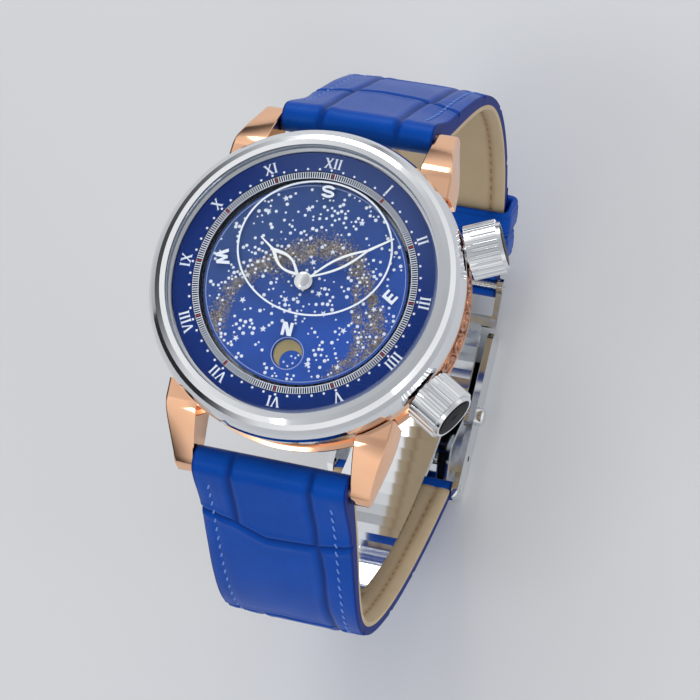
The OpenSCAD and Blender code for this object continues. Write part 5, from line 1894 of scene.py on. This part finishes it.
LAMPS_AIM = (0, 0, 0.06)


def make_lamps(scene, settings):
    """Three soft panels that look at the middle of the watch, each with its place and side."""
    for name, spot, size, power, colour in (
        ("key_light", (-0.12, 0.5, 0.4), 0.36, settings.key_power, (1.0, 0.985, 0.96)),
        ("fill_light", (0.46, -0.2, 0.42), 0.3, settings.fill_power, (0.94, 0.97, 1.0)),
        ("front_light", (-0.17, -0.3, 0.6), 0.22, settings.fill_power, (1.0, 1.0, 1.0)),
    ):
        lamp = bpy.data.lights.new(name, "AREA")
        lamp.shape = "RECTANGLE"
        lamp.size, lamp.size_y = size, size * 0.7
        lamp.energy = power
        lamp.color = colour
        holder = bpy.data.objects.new(name, lamp)
        holder.location = spot
        aim = Vector(LAMPS_AIM) - Vector(spot)
        holder.rotation_euler = aim.to_track_quat("-Z", "Y").to_euler()
        scene.collection.objects.link(holder)


def make_world(scene):
    """A dark room with a bright band over the horizon, which the polished metal shows."""
    world = bpy.data.worlds.new("studio")
    scene.world = world
    world.use_nodes = True
    world.node_tree.nodes.clear()
    g = Graph(world.node_tree)
    x, y, z = g.parts(g.node("ShaderNodeTexCoord", out="Generated"))
    stops = [
        (0.0, (0.03, 0.03, 0.033)),
        (0.5, (0.03, 0.03, 0.035)),
        (0.56, (0.14, 0.145, 0.155)),
        (0.63, (0.5, 0.51, 0.53)),
        (0.7, (0.84, 0.85, 0.86)),
        (0.87, (1.0, 1.0, 1.0)),
        (0.93, (0.68, 0.69, 0.71)),
        (1.0, (0.5, 0.51, 0.53)),
    ]
    height = (z + x * 0.35 + y * y * 0.3) * 0.5 + 0.5
    ramp = g.node("ShaderNodeValToRGB", {"stops": stops}, {0: height})
    light = g.node("ShaderNodeBackground", sockets={"Color": ramp, "Strength": 1.0})
    g.node("ShaderNodeOutputWorld", sockets={"Surface": light})


def make_camera(scene):
    """The camera of the photograph, as solved from the dial's circles and numerals."""
    camera = bpy.data.cameras.new("camera")
    camera.lens, camera.sensor_width = 123.43, 36.0
    camera.clip_start = 0.01
    eye = bpy.data.objects.new("camera", camera)
    spot = (0.08637, -0.07352, 0.37808)
    right = Vector((0.95154, 0.23473, -0.19865))
    down = Vector((0.18036, -0.94924, -0.2577))
    forward = Vector((-0.24906, 0.20938, -0.94558))
    turn = Matrix((right, -down, -forward)).transposed().to_4x4()
    eye.matrix_world = Matrix.Translation(spot) @ turn
    scene.collection.objects.link(eye)
    scene.camera = eye
    return eye


def make_stage(settings):
    """Floor, lamps, world and camera, in the plain Standard view."""
    scene = bpy.context.scene
    floor = make_floor(scene)
    make_lamps(scene, settings)
    make_world(scene)
    eye = make_camera(scene)
    scene.view_settings.view_transform = "Standard"
    return [floor, eye]


def register():
    for group in GROUPS.values():
        bpy.utils.register_class(group)
    for name, group in GROUPS.items():
        setattr(bpy.types.Scene, name, PointerProperty(type=group))
    for step in STEPS:
        bpy.utils.register_class(step)
    bpy.utils.register_class(WATCH_PT_panel)


def unregister():
    bpy.utils.unregister_class(WATCH_PT_panel)
    for step in reversed(STEPS):
        bpy.utils.unregister_class(step)
    for name, group in GROUPS.items():
        delattr(bpy.types.Scene, name)
        bpy.utils.unregister_class(group)


def main():
    """Runs every step in order."""
    register()
    for step in STEPS:
        area, name = step.bl_idname.split(".")
        result = getattr(getattr(bpy.ops, area), name)()
        if result != {"FINISHED"}:
            raise RuntimeError(f"{step.bl_label} did not finish")


if __name__ == "__main__":
    main()
